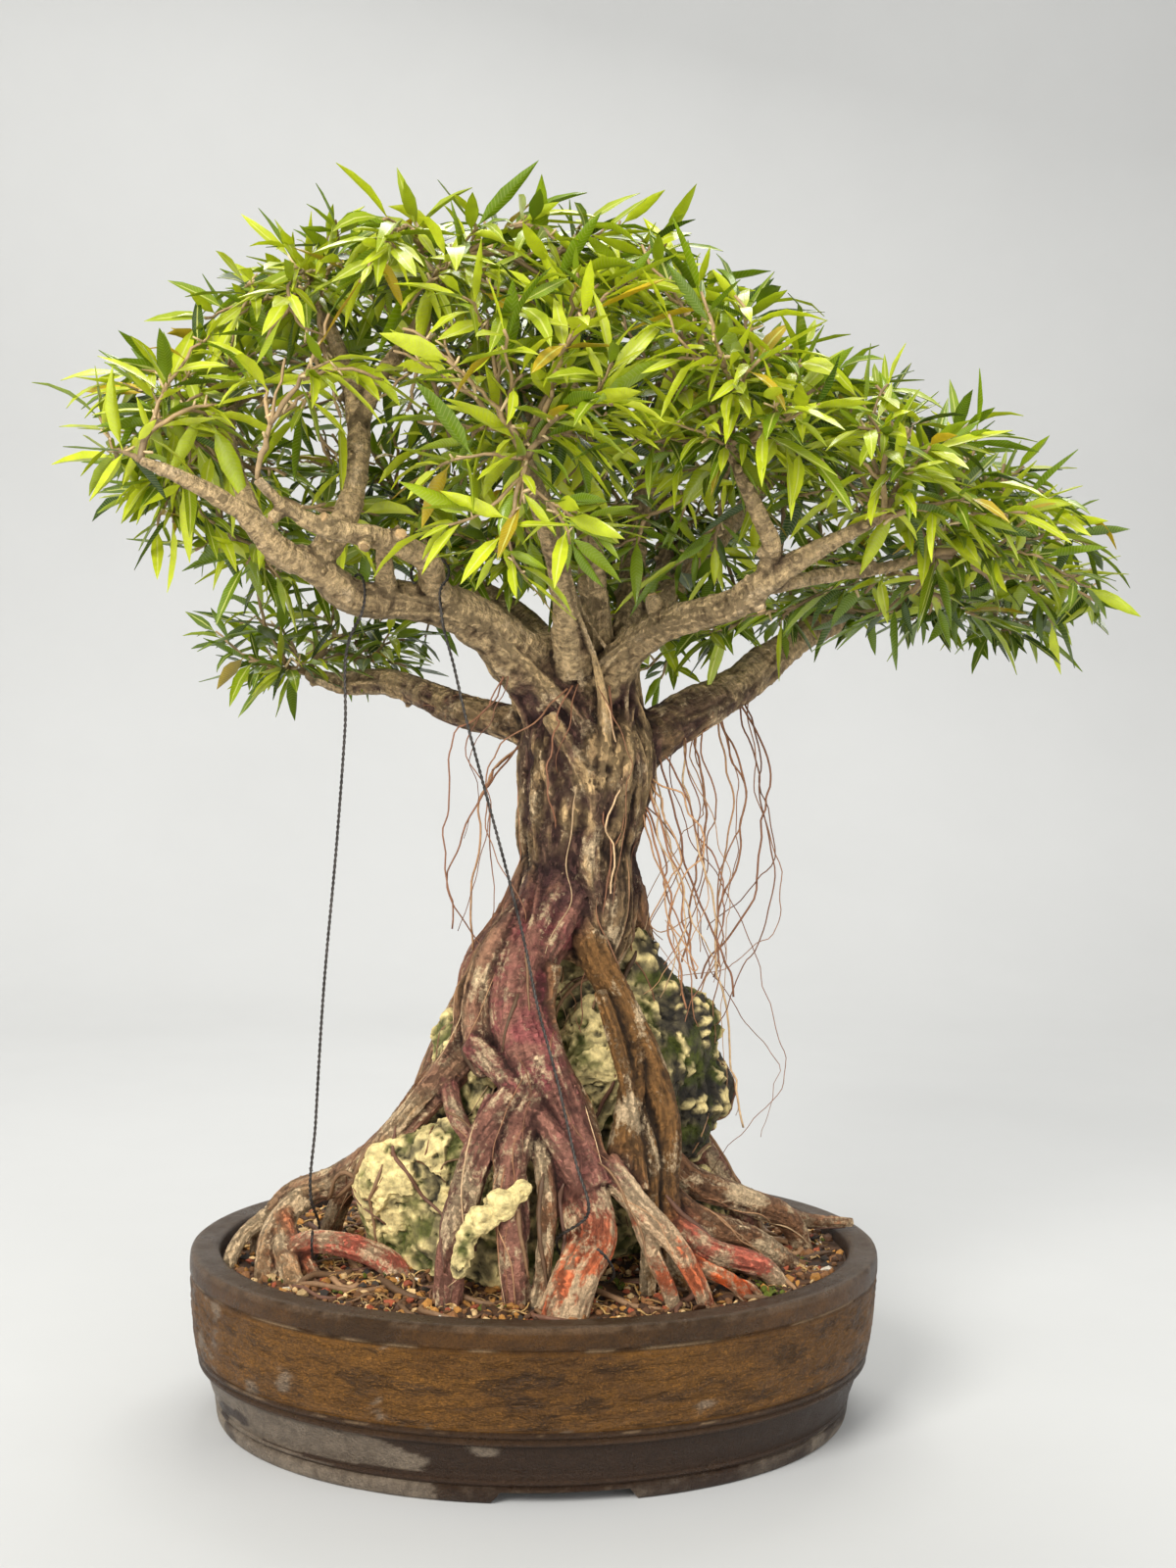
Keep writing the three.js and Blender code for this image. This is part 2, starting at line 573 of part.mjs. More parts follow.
// Points of a hook that goes most of the way round a limb, from its open end to the wire's side.
function hook({ centre, along, radius }, sign) {
  const axis = vector(along).normalize();
  const down = new THREE.Vector3(0, 0, -sign);
  down.addScaledVector(axis, -down.dot(axis)).normalize();
  const beside = down.clone().cross(axis);
  const turn = 2 * HOOK_TURN * Math.PI;
  const reach = (radius + WIRE_RADIUS + HOOK_SLACK / 2) / Math.cos(turn / HOOK_STEPS / 2);
  const points = [];
  for (let i = 0; i <= HOOK_STEPS; i += 1) {
    const angle = turn * (i / HOOK_STEPS - 0.5);
    const point = vector(centre).addScaledVector(down, -reach * Math.cos(angle));
    point.addScaledVector(beside, sign * reach * Math.sin(angle));
    points.push([point.x, point.y, point.z, WIRE_RADIUS]);
  }
  return points;
}

function buildWire({ top, route, foot }, grow = 0) {
  const stretch = route.map((point) => [...point, WIRE_RADIUS]);
  const whole = [...hook(top, 1), ...stretch, ...hook(foot, -1)];
  return tube(whole, { sides: 4, grow });
}

function heightAt(edge, x) {
  const next = edge.findIndex(([ex]) => ex >= x);
  if (next <= 0) return edge[next === 0 ? 0 : edge.length - 1][1];
  const [x0, z0] = edge[next - 1];
  const [x1, z1] = edge[next];
  return THREE.MathUtils.mapLinear(x, x0, x1, z0, z1);
}

// How far out a point lies in the crown: 0 at its core and 1 on its outer face.
function crownReach(x, y, z) {
  const top = heightAt(CROWN_TOP, x);
  const front = THREE.MathUtils.smoothstep(-y, -CROWN_FRONT[0], -CROWN_FRONT[1]);
  const under = THREE.MathUtils.lerp(heightAt(CROWN_UNDER, x), heightAt(CROWN_FRONT_UNDER, x), front);
  const middle = THREE.MathUtils.lerp(under, top, CROWN_MIDDLE);
  const width = 1 - ((x - CROWN_MID_X) / CROWN_HALF_WIDTH) ** 2;
  if (width <= 0) return 2;
  const rise = (z - middle) / (z > middle ? top - middle : middle - under);
  return Math.hypot(y / (CROWN_HALF_DEPTH * Math.sqrt(width)), rise);
}

function inLowPad(point) {
  const { centre, reach } = LOW_PAD;
  const parts = point.map((value, i) => (value - centre[i]) / reach[i]);
  return Math.hypot(...parts) < 1;
}

// Ends of the leafy shoots, spread evenly over the outside of the crown and the low pad.
function shootEnds(random) {
  const ends = [];
  for (let i = 0; i < SHOOT_TRIES; i += 1) {
    const x = THREE.MathUtils.lerp(...CROWN_SPAN.x, random());
    const y = CROWN_HALF_DEPTH * (2 * random() - 1);
    const z = THREE.MathUtils.lerp(...CROWN_SPAN.z, random());
    const reach = crownReach(x, y, z);
    const shell = reach > CROWN_SHELL[0] && reach < CROWN_SHELL[1];
    const far = Math.abs(x - CROWN_MID_X) > CROWN_SIDES * CROWN_HALF_WIDTH;
    const side = far && reach < CROWN_SHELL[1];
    const point = new THREE.Vector3(x, y, z);
    const free = ends.every((end) => end.distanceTo(point) > SHOOT_SPACING);
    if (free && (shell || side || inLowPad([x, y, z]))) ends.push(point);
  }
  return ends;
}

// A folded, drooping, pointed blade: a closed body with a keel along its midrib.
function blade({ base, along, length, width, droop, roll }, grow = 0) {
  const upward = new THREE.Vector3(0, 0, 1);
  const side = along.clone().cross(upward).normalize();
  side.applyAxisAngle(along, roll);
  const normal = side.clone().cross(along);
  const middle = (t) => base.clone().addScaledVector(along, t * (length + grow))
    .addScaledVector(upward, -droop * length * t * t);
  const points = [middle(0)];
  for (const [t, share] of LEAF_STATIONS) {
    const centre = middle(t);
    const reach = (share * width) / 2 + grow;
    points.push(centre.clone().addScaledVector(side, reach).addScaledVector(normal, grow));
    points.push(centre.clone().addScaledVector(side, -reach).addScaledVector(normal, grow));
    points.push(centre.clone().addScaledVector(normal, -LEAF_KEEL - grow));
  }
  points.push(middle(1));
  const triangles = [];
  for (let j = 0; j < 3; j += 1) {
    const k = (j + 1) % 3;
    triangles.push([0, 1 + k, 1 + j], [7, 4 + j, 4 + k]);
    triangles.push([1 + j, 1 + k, 4 + k], [1 + j, 4 + k, 4 + j]);
  }
  const solid = solidFrom(points, triangles);
  return solid.volume() > 0 ? solid : solidFrom(points, triangles.map(([a, b, c]) => [a, c, b]));
}

// Solids already placed, each with the name of its node, so that nothing new crosses them.
const placed = [];

function place(owner, solid, isLeaf = false) {
  placed.push({ owner, solid, isLeaf, bounds: solid.boundingBox() });
}

// Whether a solid crosses any placed solid that the test picks.
function crosses(solid, test) {
  const { min, max } = solid.boundingBox();
  return placed.filter(test).some((other) => {
    const { bounds } = other;
    const apart = [0, 1, 2].some((i) => bounds.min[i] > max[i] || bounds.max[i] < min[i]);
    return !apart && solid.intersect(other.solid).volume() > LEAST_OVERLAP;
  });
}

// Joins the shoots of one spray to its limb by the shortest branching twigs.
function growTwigs(start, startWay, ends) {
  const nodes = [{ point: start, path: 0, parent: -1, way: startWay, tips: 0 }];
  const order = [...ends].sort((a, b) => a.distanceTo(start) - b.distanceTo(start));
  for (const end of order) {
    let best = -1;
    let least = Infinity;
    nodes.forEach(({ point, path, way, leafy }, i) => {
      const step = end.clone().sub(point);
      const gap = step.length();
      const bend = 1 - step.normalize().dot(way);
      const cost = gap + PATH_COST * path + BEND_COST * bend + (leafy ? LEAFY_COST : 0);
      if (gap > SHORTEST_TWIG && cost < least) {
        best = i;
        least = cost;
      }
    });
    if (best < 0) continue;
    const from = nodes[best];
    const gap = from.point.distanceTo(end);
    const middle = from.point.clone().lerp(end, 0.5).addScaledVector(from.way, ELBOW_LIFT * gap);
    const way = end.clone().sub(middle).normalize();
    const bent = middle.clone().sub(from.point).normalize();
    nodes.push({ point: middle, path: from.path + gap / 2, parent: best, way: bent, tips: 0 });
    nodes.push({ point: end, path: from.path + gap, parent: nodes.length - 1, way, tips: 0, leafy: 1 });
  }
  for (const { leafy, parent } of nodes) {
    for (let up = leafy ? parent : -1; up >= 0; up = nodes[up].parent) nodes[up].tips += 1;
  }
  return nodes;
}

// One drawn leaf of a shoot: the first ends it, and the others stand off it lower down.
function drawLeaf(node, order, random) {
  const between = ([low, high]) => THREE.MathUtils.lerp(low, high, random());
  const spread = between(order === 0 ? TIP_SPREAD : LEAF_SPREAD);
  const turn = GOLDEN_ANGLE * order + 2 * Math.PI * random();
  const aside = new THREE.Vector3(node.way.z, node.way.x, node.way.y).cross(node.way).normalize();
  const along = node.way.clone().multiplyScalar(Math.cos(spread))
    .addScaledVector(aside.applyAxisAngle(node.way, turn), Math.sin(spread)).normalize();
  return {
    base: node.point.clone().addScaledVector(node.way, -1 - LEAF_PITCH * order),
    along,
    length: between(LEAF_LENGTH),
    width: between(LEAF_WIDTH),
    droop: between(LEAF_DROOP),
    roll: between(LEAF_ROLL),
  };
}

// Draws a leaf again until it is clear of other nodes and, at first, of its own spray's leaves.
function addLeaf(name, node, order, random) {
  for (let draw = 0; draw < REDRAWS; draw += 1) {
    const leaf = drawLeaf(node, order, random);
    const solid = blade(leaf);
    const fits = !crosses(blade(leaf, CLEARANCE), ({ owner }) => owner !== name);
    const fussy = draw < REDRAWS / 2;
    if (fits && !(fussy && crosses(solid, ({ owner, isLeaf }) => isLeaf && owner === name))) {
      place(name, solid, true);
      return;
    }
  }
}

function buildSpray(name, route, ends, random) {
  const tail = vector(route[route.length - 1]);
  const way = tail.clone().sub(vector(route[route.length - 2])).normalize();
  const nodes = growTwigs(tail, way, ends);
  const radius = (node) => TWIG_RADIUS * Math.max(node.tips, 1) ** TWIG_THICKENING;
  const kept = new Set([nodes[0]]);
  for (const node of nodes.filter(({ leafy }) => leafy)) {
    const elbow = nodes[node.parent];
    const fork = nodes[elbow.parent];
    const cells = [fork, elbow, node].map((at) => [...at.point.toArray(), radius(at)]);
    if (fork !== nodes[0]) cells[0][3] *= FORK_THINNING;
    const held = fork === nodes[0] ? 'tree_wood' : name;
    const room = tube(cells, { sides: 3, grow: 2 * CLEARANCE });
    if (kept.has(fork) && !crosses(room, ({ owner }) => owner !== name && owner !== held)) {
      kept.add(node).add(elbow);
      place(name, tube(cells, { sides: 3 }));
    }
  }
  for (const node of nodes.filter((at) => at.leafy && kept.has(at))) {
    for (let order = 0; order < LEAVES_A_SHOOT; order += 1) addLeaf(name, node, order, random);
  }
  return wasm.Manifold.union(placed.filter(({ owner }) => owner === name).map(({ solid }) => solid));
}

const assembly = new THREE.Group();

function addPart(name, solid, finish) {
  const mesh = new THREE.Mesh(geometryFrom(solid), new THREE.MeshStandardMaterial(FINISHES[finish]));
  mesh.name = name;
  assembly.add(mesh);
}

const wood = buildWood();
const woodRoom = buildWood(CLEARANCE);
const wireRooms = wasm.Manifold.union(WIRES.map((wire) => buildWire(wire, CLEARANCE)));
const woodBody = largestBody(wood.subtract(wireRooms));
const rock = largestBody(buildRock().subtract(woodRoom).subtract(wireRooms));
const soilRoom = wasm.Manifold.union([woodRoom, buildRock(2 * CLEARANCE), wireRooms]);
const soil = largestBody(buildSoil().subtract(soilRoom));

addPart('pot', buildPot(), 'stoneware');
addPart('drain_screen_left', buildScreen(-1), 'screen');
addPart('drain_screen_right', buildScreen(1), 'screen');
addPart('soil', soil, 'soil');
addPart('limestone_rock', rock, 'rock');
addPart('tree_wood', woodBody, 'bark');
WIRES.forEach((wire) => addPart(wire.name, buildWire(wire), 'wire'));

const random = randomFrom(SEED);
const ends = shootEnds(random);
const leafyLimbs = LIMBS.filter(({ spray }) => spray);
const limbEnds = leafyLimbs.map(({ route }) => vector(route[route.length - 1]));
const nearest = (end) => limbEnds.reduce((best, limbEnd, i) => (
  end.distanceTo(limbEnd) < end.distanceTo(limbEnds[best]) ? i : best), 0);
const shares = leafyLimbs.map(() => []);
ends.forEach((end) => shares[nearest(end)].push(end));

LIMBS.forEach(({ route, sides }) => place('tree_wood', tube(route, { sides })));
place('tree_wood', tube(TRUNK, { sides: TRUNK_SIDES }));
WIRES.forEach((wire) => place(wire.name, buildWire(wire)));
leafyLimbs.forEach(({ spray, route }, i) => {
  const solid = buildSpray(spray, route, shares[i], random);
  addPart(spray, largestBody(solid.subtract(woodRoom)), 'leaf');
});

// The origin goes under the middle of the whole object, at the height of the pot's foot.
const whole = new THREE.Box3().setFromObject(assembly);
const centre = whole.getCenter(new THREE.Vector3());
assembly.position.set(-centre.x, -centre.y, -whole.min.z);

const bonsai = new THREE.Group();
bonsai.add(assembly);
export default bonsai;
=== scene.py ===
# Willow leaf ficus bonsai over a limestone rock, in an oval unglazed pot: its finished looks.
# Shapes are worked out in millimetres round the centre of the pot's foot, with the front at -Y, and
# mesh_from() turns them into metres of the row frame.

import itertools
import math

import bpy
import numpy as np
from mathutils import Matrix, Vector
from mathutils.bvhtree import BVHTree
from mathutils.kdtree import KDTree


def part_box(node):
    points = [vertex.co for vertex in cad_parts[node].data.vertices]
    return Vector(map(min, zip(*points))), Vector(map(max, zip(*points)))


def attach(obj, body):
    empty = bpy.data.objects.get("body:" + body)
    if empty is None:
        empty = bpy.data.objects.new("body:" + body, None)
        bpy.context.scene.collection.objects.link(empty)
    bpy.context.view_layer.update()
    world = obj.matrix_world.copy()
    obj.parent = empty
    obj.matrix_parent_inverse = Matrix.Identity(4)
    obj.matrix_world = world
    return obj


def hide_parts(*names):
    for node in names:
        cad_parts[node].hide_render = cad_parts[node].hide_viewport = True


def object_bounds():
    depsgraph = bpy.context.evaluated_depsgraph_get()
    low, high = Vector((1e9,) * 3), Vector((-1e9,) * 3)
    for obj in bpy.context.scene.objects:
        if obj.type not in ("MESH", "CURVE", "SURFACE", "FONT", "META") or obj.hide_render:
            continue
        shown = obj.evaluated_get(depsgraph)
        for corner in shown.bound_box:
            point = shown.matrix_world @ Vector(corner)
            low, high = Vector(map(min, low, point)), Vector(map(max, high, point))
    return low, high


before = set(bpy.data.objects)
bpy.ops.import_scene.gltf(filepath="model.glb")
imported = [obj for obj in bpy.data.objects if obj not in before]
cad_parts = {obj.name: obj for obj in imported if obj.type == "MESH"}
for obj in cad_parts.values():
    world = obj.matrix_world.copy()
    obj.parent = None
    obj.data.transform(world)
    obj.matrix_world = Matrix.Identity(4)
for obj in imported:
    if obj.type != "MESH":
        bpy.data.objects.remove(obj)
cad_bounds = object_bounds()

MM = 0.001
POT_LOW, POT_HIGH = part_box("pot")
FOOT_CENTRE = np.array([(POT_LOW.x + POT_HIGH.x) / 2, (POT_LOW.y + POT_HIGH.y) / 2, POT_LOW.z])
UP = np.array([0.0, 0.0, 1.0])
TURN = 2 * math.pi
GOLDEN_ANGLE = 2.4
SEED = 20817

# Camera, solved from the oval of the pot: its place, its angles and its focal length in photo heights.
CAMERA_PLACE = (-148.06, -1321.23, 468.7)
CAMERA_HEADING = -0.1327
CAMERA_PITCH = 0.044
CAMERA_ROLL = 0.0184
FOCAL_SHARE = 2078.2 / 1600
SENSOR_HEIGHT = 36

# Pot: half sizes of the rim's outer edge, and where each zone of its wall starts, by height.
POT_HALF_LENGTH = 225
POT_HALF_DEPTH = 190
RIM_WIDTH = 19
FLOOR_TOP = 18
FOOT_TOP = 10
BODY_FOOT = 47
BODY_TOP = 94
DRAIN_SPACING = 95
DRAIN_RADIUS = 13
NOTCH_FOOT = 46
NOTCH_TOP = 38
NOTCH_HEIGHT = 7.5

# Outer wall of the pot from the foot to the rim's inner edge as (inset, height).
POT_OUTSIDE = [
    (20.6, 0), (19.4, 0.5), (18.4, 2), (17.6, 5), (17.4, 8), (17.9, 9.4), (19.0, 10.0), (19.0, 10.8),
    (17.4, 11.6), (16.7, 12.8), (17.0, 13.8), (17.5, 14.4), (16.4, 17), (14.2, 23), (11.9, 30),
    (10.2, 34.5), (9.2, 37), (7.2, 37.9), (5.9, 39.2), (6.0, 40.6),
    (7.0, 41.6), (7.0, 42.3), (5.7, 43.1), (5.1, 44.3), (5.3, 45.4), (6.2, 46.3), (5.9, 47.2),
    (4.3, 49), (3.2, 56), (2.2, 66), (1.3, 78), (0.8, 88), (0.7, 93), (1.5, 94.2), (1.7, 95),
    (0.9, 95.9), (0.1, 97), (0, 99), (0.1, 103), (0.4, 106.4), (1.1, 108.4), (2.2, 109.2), (3.6, 109.4),
    (10, 109.1), (16, 109.2), (18, 108.8), (19, 107.6),
]
POT_INSIDE = [(19.6, 104), (20, 100), (24, 48), (35, 24), (53, 18)]
POT_UNDERSIDE = [(110, 8), (60, 8), (42, 8), (40.6, 7), (40.6, 0.6), (40, 0)]

# Soil: its height at the wall and its rise under the rock.
SOIL_EDGE = 101
SOIL_MOUND = 9
GRIT_COUNT = 4900
GRIT_SIZE = (1.1, 3.5)
FIBRES = 500

# How finely each skin is made, in columns and rings, or in mm.
POT_COLUMNS = 420
POT_STEP = 1.7
SOIL_COLUMNS = 180
SOIL_RINGS = 46
ROCK_VOXEL = 1.7
WOOD_VOXEL = 1.6

TRUNK = [
    (14, -8, 296, 31), (24, -6, 322, 34), (25, -3, 345, 34), (22, 0, 372, 36), (25, 0, 400, 40),
    (26, 2, 428, 42), (23, 2, 452, 38), (20, -2, 474, 28), (20, -4, 490, 18),
]

# Limbs as (x, y, z, radius), by the name of the spray that each one carries.
LIMBS = {
    "left_tip": [
        (8, -5, 468, 26), (-19, -15, 490, 19), (-57, -35, 518, 14), (-93, -50, 525, 11.5),
        (-128, -62, 526, 10.5), (-148, -69, 541, 10), (-171, -78, 551, 8.5), (-193, -88, 572, 6.5),
        (-226, -98, 590, 4.5), (-252, -104, 600, 3)],
    "left_back_high": [
        (-185, -84, 566, 6), (-196, -62, 592, 5.5), (-204, -30, 618, 5), (-206, 6, 640, 4.5),
        (-204, 30, 652, 3.5)],
    "front_left_low": [
        (-62, -38, 518, 10), (-77, -55, 534, 8.5), (-83, -76, 547, 7.5), (-115, -98, 560, 6.5),
        (-147, -112, 564, 5.5), (-168, -124, 574, 4), (-184, -136, 588, 3)],
    "left_crown": [
        (-150, -70, 545, 9), (-132, -64, 575, 8), (-126, -56, 604, 7.5), (-126, -47, 640, 7),
        (-140, -40, 684, 5), (-150, -38, 706, 3.5)],
    "left_centre_crown": [
        (-126, -50, 630, 6), (-113, -50, 660, 5), (-93, -55, 688, 4.5), (-82, -58, 710, 3.5)],
    "back_left_low": [
        (2, 12, 450, 17), (-21, 25, 449, 12), (-50, 48, 456, 11), (-74, 76, 466, 10),
        (-99, 104, 474, 9), (-135, 132, 474, 7), (-155, 148, 480, 4.5)],
    "centre_crown": [
        (26, -5, 478, 14), (32, -12, 500, 10), (28, -20, 524, 9), (24, -28, 552, 8),
        (21, -20, 600, 7), (15, -2, 652, 6), (8, 8, 690, 4.5), (4, 12, 712, 3.5)],
    "right_crown": [
        (46, 0, 490, 11), (53, 2, 520, 8.5), (57, 12, 550, 8), (62, 24, 580, 7),
        (74, 40, 626, 6), (86, 50, 664, 4.5), (94, 54, 686, 3.5)],
    "upper_right": [
        (46, 5, 490, 13), (60, 4, 516, 8.5), (82, 20, 536, 8), (98, 35, 553, 7.5),
        (116, 50, 569, 7), (131, 60, 586, 6.5), (160, 76, 618, 5), (182, 84, 640, 3.5)],
    "front_right": [
        (34, -14, 474, 17), (48, -28, 496, 11.5), (63, -45, 510, 10), (87, -65, 520, 9.5),
        (109, -85, 528, 9), (123, -96, 540, 8.5), (140, -106, 552, 6.5), (160, -118, 564, 5),
        (186, -130, 578, 3.5)],
    "front_centre_right": [
        (123, -96, 542, 7), (124, -106, 560, 6), (112, -114, 582, 5), (98, -122, 606, 4),
        (92, -126, 618, 3.5)],
    "right_middle": [
        (118, -92, 536, 6.5), (140, -90, 540, 5), (170, -80, 546, 4.5), (206, -70, 552, 4),
        (238, -62, 562, 3.5)],
    "right_tip": [
        (30, 8, 424, 28), (61, 12, 436, 20), (91, 30, 452, 16), (124, 52, 468, 14),
        (150, 68, 484, 13), (175, 84, 502, 11.5), (202, 98, 518, 9.5), (230, 108, 528, 8),
        (272, 112, 538, 6), (302, 106, 546, 3.5)],
    "back_right": [(192, 94, 512, 7), (206, 120, 532, 6), (214, 142, 556, 5), (222, 156, 576, 3.5)],
    "back_left": [
        (18, 18, 464, 19), (10, 52, 492, 12), (-10, 95, 520, 10), (-40, 136, 545, 8),
        (-66, 160, 572, 5.5), (-80, 170, 592, 3.5)],
    "back_centre": [
        (40, 18, 468, 17), (60, 56, 498, 11), (84, 98, 528, 9), (98, 132, 556, 7),
        (104, 156, 582, 5), (106, 166, 598, 3.5)],
    "back_crown": [
        (26, 14, 490, 11), (14, 44, 540, 8), (2, 74, 600, 7), (-6, 96, 650, 5), (-10, 104, 676, 3.5)],
    "front_centre": [
        (14, -22, 484, 13), (4, -52, 530, 8), (-10, -90, 566, 7), (-24, -126, 592, 5),
        (-30, -144, 604, 3.5)],
}

# Pruned stubs on the limbs as (x, y, z, radius); each ends in a pale cut.
STUBS = [
    [(-106, -57, 526, 7), (-109, -74, 548, 5.4), (-110, -80, 560, 4.8)],
    [(-138, -107, 562, 5), (-146, -116, 569, 4.2)],
    [(-104, -92, 556, 5), (-100, -102, 562, 4.2)],
    [(-168, -122, 574, 4), (-176, -126, 566, 3.4)],
    [(-120, -100, 560, 4.5), (-122, -110, 553, 3.8)],
    [(116, -90, 534, 6), (121, -92, 522, 5)],
    [(66, -48, 511, 6), (60, -50, 532, 5)],
]

# Roots by bark: they clasp the rock, run out over the soil and go down into it.
ROOTS = [
    ("crimson", [
        (12, -12, 345, 25), (-3, -32, 320, 21), (-17, -49, 295, 18.5), (-20, -61, 268, 18),
        (-12, -74, 242, 18), (2, -90, 206, 18), (16, -108, 166, 17)]),
    ("orange", [
        (10, -100, 178, 14), (17, -114, 158, 15), (19, -126, 142, 13.5), (8, -138, 124, 13.5),
        (-3, -146, 93, 15)]),
    ("purple", [
        (4, 0, 345, 22), (-14, -6, 318, 19), (-36, -14, 286, 17), (-41, -28, 260, 15),
        (-52, -39, 240, 12), (-75, -45, 214, 10), (-100, -42, 184, 9), (-130, -20, 156, 9),
        (-163, 0, 137, 8), (-178, 2, 112, 7), (-181, 0, 93, 6)]),
    ("brown", [
        (-42, -16, 268, 10), (-58, 2, 234, 8), (-77, 10, 204, 7.5), (-104, 20, 164, 7),
        (-128, 30, 130, 6.5), (-138, 36, 93, 6)]),
    ("crimson", [(-50, -58, 250, 8), (-20, -92, 222, 8), (4, -112, 189, 8), (14, -118, 168, 7)]),
    ("purple", [
        (-18, -84, 228, 11), (-40, -98, 205, 10), (-57, -111, 165, 9), (-64, -117, 132, 8.5),
        (-67, -118, 93, 8)]),
    ("purple", [
        (-10, -88, 224, 11), (-25, -105, 200, 9.5), (-31, -117, 165, 8.5), (-28, -124, 130, 8),
        (-26, -126, 93, 7)]),
    ("crimson", [(-64, -46, 228, 6), (-60, -64, 208, 5.5), (-46, -82, 186, 5)]),
    ("golden", [
        (20, -18, 340, 17), (30, -38, 302, 10.5), (46, -55, 270, 9.5), (62, -66, 234, 9.5),
        (71, -74, 200, 9.5), (68, -84, 162, 10), (72, -94, 128, 10), (84, -98, 93, 9)]),
    ("golden", [(54, -62, 250, 7), (47, -80, 212, 8), (36, -104, 166, 9)]),
    ("orange", [
        (28, -104, 184, 9), (50, -117, 158, 7.5), (70, -127, 138, 6), (82, -132, 118, 5.2),
        (92, -134, 93, 4.5)]),
    ("orange", [(46, -112, 160, 5), (56, -122, 134, 4.6), (66, -132, 112, 4.4), (70, -136, 93, 4)]),
    ("flame", [(72, -118, 132, 4.6), (88, -121, 123, 4.4), (108, -121, 112, 4.2), (122, -118, 93, 3.6)]),
    ("flame", [(106, -119, 113, 3.6), (118, -112, 108, 3.2), (132, -106, 93, 3)]),
    ("scarlet", [(68, -90, 146, 8), (96, -97, 127, 7.2), (130, -94, 115, 6), (152, -88, 93, 4.6)]),
    ("brown", [
        (60, -62, 192, 10), (84, -55, 165, 9.5), (130, -41, 143, 8.5), (164, -22, 125, 7.5),
        (182, -6, 93, 6)]),
    ("brown", [(68, -84, 160, 9), (90, -77, 142, 8.5), (130, -65, 125, 7.5), (170, -47, 93, 6)]),
    ("brown", [(132, -38, 140, 7), (168, -6, 123, 5.5), (194, 8, 115.5, 4), (217, 11, 114, 3)]),
    ("pale", [(-150, -4, 144, 8), (-170, -24, 126, 7), (-176, -46, 108, 6.5), (-177, -58, 93, 6)]),
    ("pale", [(-164, -14, 132, 7), (-164, -46, 118, 6.5), (-152, -90, 93, 5)]),
    ("scarlet", [
        (-84, -66, 93, 7), (-97, -65, 111, 7.4), (-124, -56, 122, 7), (-156, -50, 121, 6.2),
        (-170, -54, 93, 5)]),
    ("pale", [(-176, 2, 126, 6), (-192, -10, 116, 4.5), (-199, -22, 104, 4), (-200, -28, 93, 3)]),
    ("orange", [(-166, -22, 134, 5), (-160, -40, 122, 4.5), (-148, -56, 108, 4), (-140, -64, 93, 3.5)]),
    ("brown", [
        (28, 14, 345, 25), (22, 46, 300, 19), (10, 70, 252, 17), (-4, 86, 200, 16),
        (-14, 106, 140, 15), (-22, 118, 93, 13)]),
    ("brown", [
        (44, 6, 345, 21), (70, 44, 294, 12), (98, 70, 236, 10.5), (110, 76, 170, 10),
        (124, 84, 124, 10), (130, 90, 93, 9)]),
    ("purple", [
        (8, 12, 345, 21), (-24, 36, 292, 14), (-52, 54, 238, 12), (-76, 68, 168, 11),
        (-98, 82, 118, 10), (-106, 88, 93, 9)]),
    ("purple", [(106, 72, 190, 10), (112, 42, 162, 11), (130, 29, 138, 10), (158, 28, 93, 8)]),
    ("brown", [(-2, 84, 200, 9), (34, 108, 154, 8), (54, 124, 120, 7.5), (60, 128, 93, 6)]),
]

# Smaller roots that fill the space between the large ones.
FILLING_ROOTS = [
    ("purple", [(-3, -18, 328, 16.9), (-28, -36, 304, 15.5), (-41, -45, 280, 13.5), (-43, -52, 256, 12.2),
                (-38, -58, 230, 9.1)]),
    ("brown", [(-36, -26, 291, 8.7), (-48, -34, 278, 9.9), (-50, -38, 258, 9.3), (-60, -42, 236, 7.4),
               (-74, -40, 217, 7.4)]),
    ("crimson", [(-37, -84, 220, 7.1), (-46, -100, 197, 7.1), (-57, -112, 170, 6.4), (-63, -118, 143, 5.8)]),
    ("crimson", [(-28, -88, 221, 8.3), (-29, -104, 194, 8.2), (-26, -114, 166, 7.6), (-24, -118, 141, 5.8)]),
    ("brown", [(-14, -100, 205, 5.9), (-9, -112, 181, 5.2), (-7, -120, 156, 5.2), (-9, -124, 133, 4.6),
               (-14, -130, 96, 4)]),
    ("golden", [(30, -60, 283, 4.2), (39, -70, 254, 4.8), (46, -80, 225, 4.8), (49, -92, 194, 4.7),
                (52, -104, 166, 4.7)]),
    ("golden", [(48, -66, 241, 4.2), (52, -78, 212, 5.4), (59, -88, 184, 5.3), (59, -98, 152, 5.3),
                (56, -110, 96, 5)]),
    ("golden", [(1, -60, 299, 4.9), (-3, -70, 272, 4.2), (4, -78, 243, 4.2), (18, -88, 215, 4.7),
                (26, -104, 188, 4.7)]),
]

# Gnarled tan ridge up the front of the trunk.
KNOT_RIDGE = [
    (-2, -31, 455, 5), (10, -35, 436, 6), (23, -37, 412, 8), (27, -37, 393, 6.5), (25, -34, 362, 7.5),
    (31, -33, 330, 6),
]

# How many rootlets creep over the wood and the rock, and how many lie on the soil.
ROOTLETS = 260

# Ropes of bark wound along each stretch of wood: how many, by the wood's kind and thickness.
ROPES_ON_TRUNK = 22
ROPES_INTO_LIMB = 6
ROPES_ON_ROOT = 6

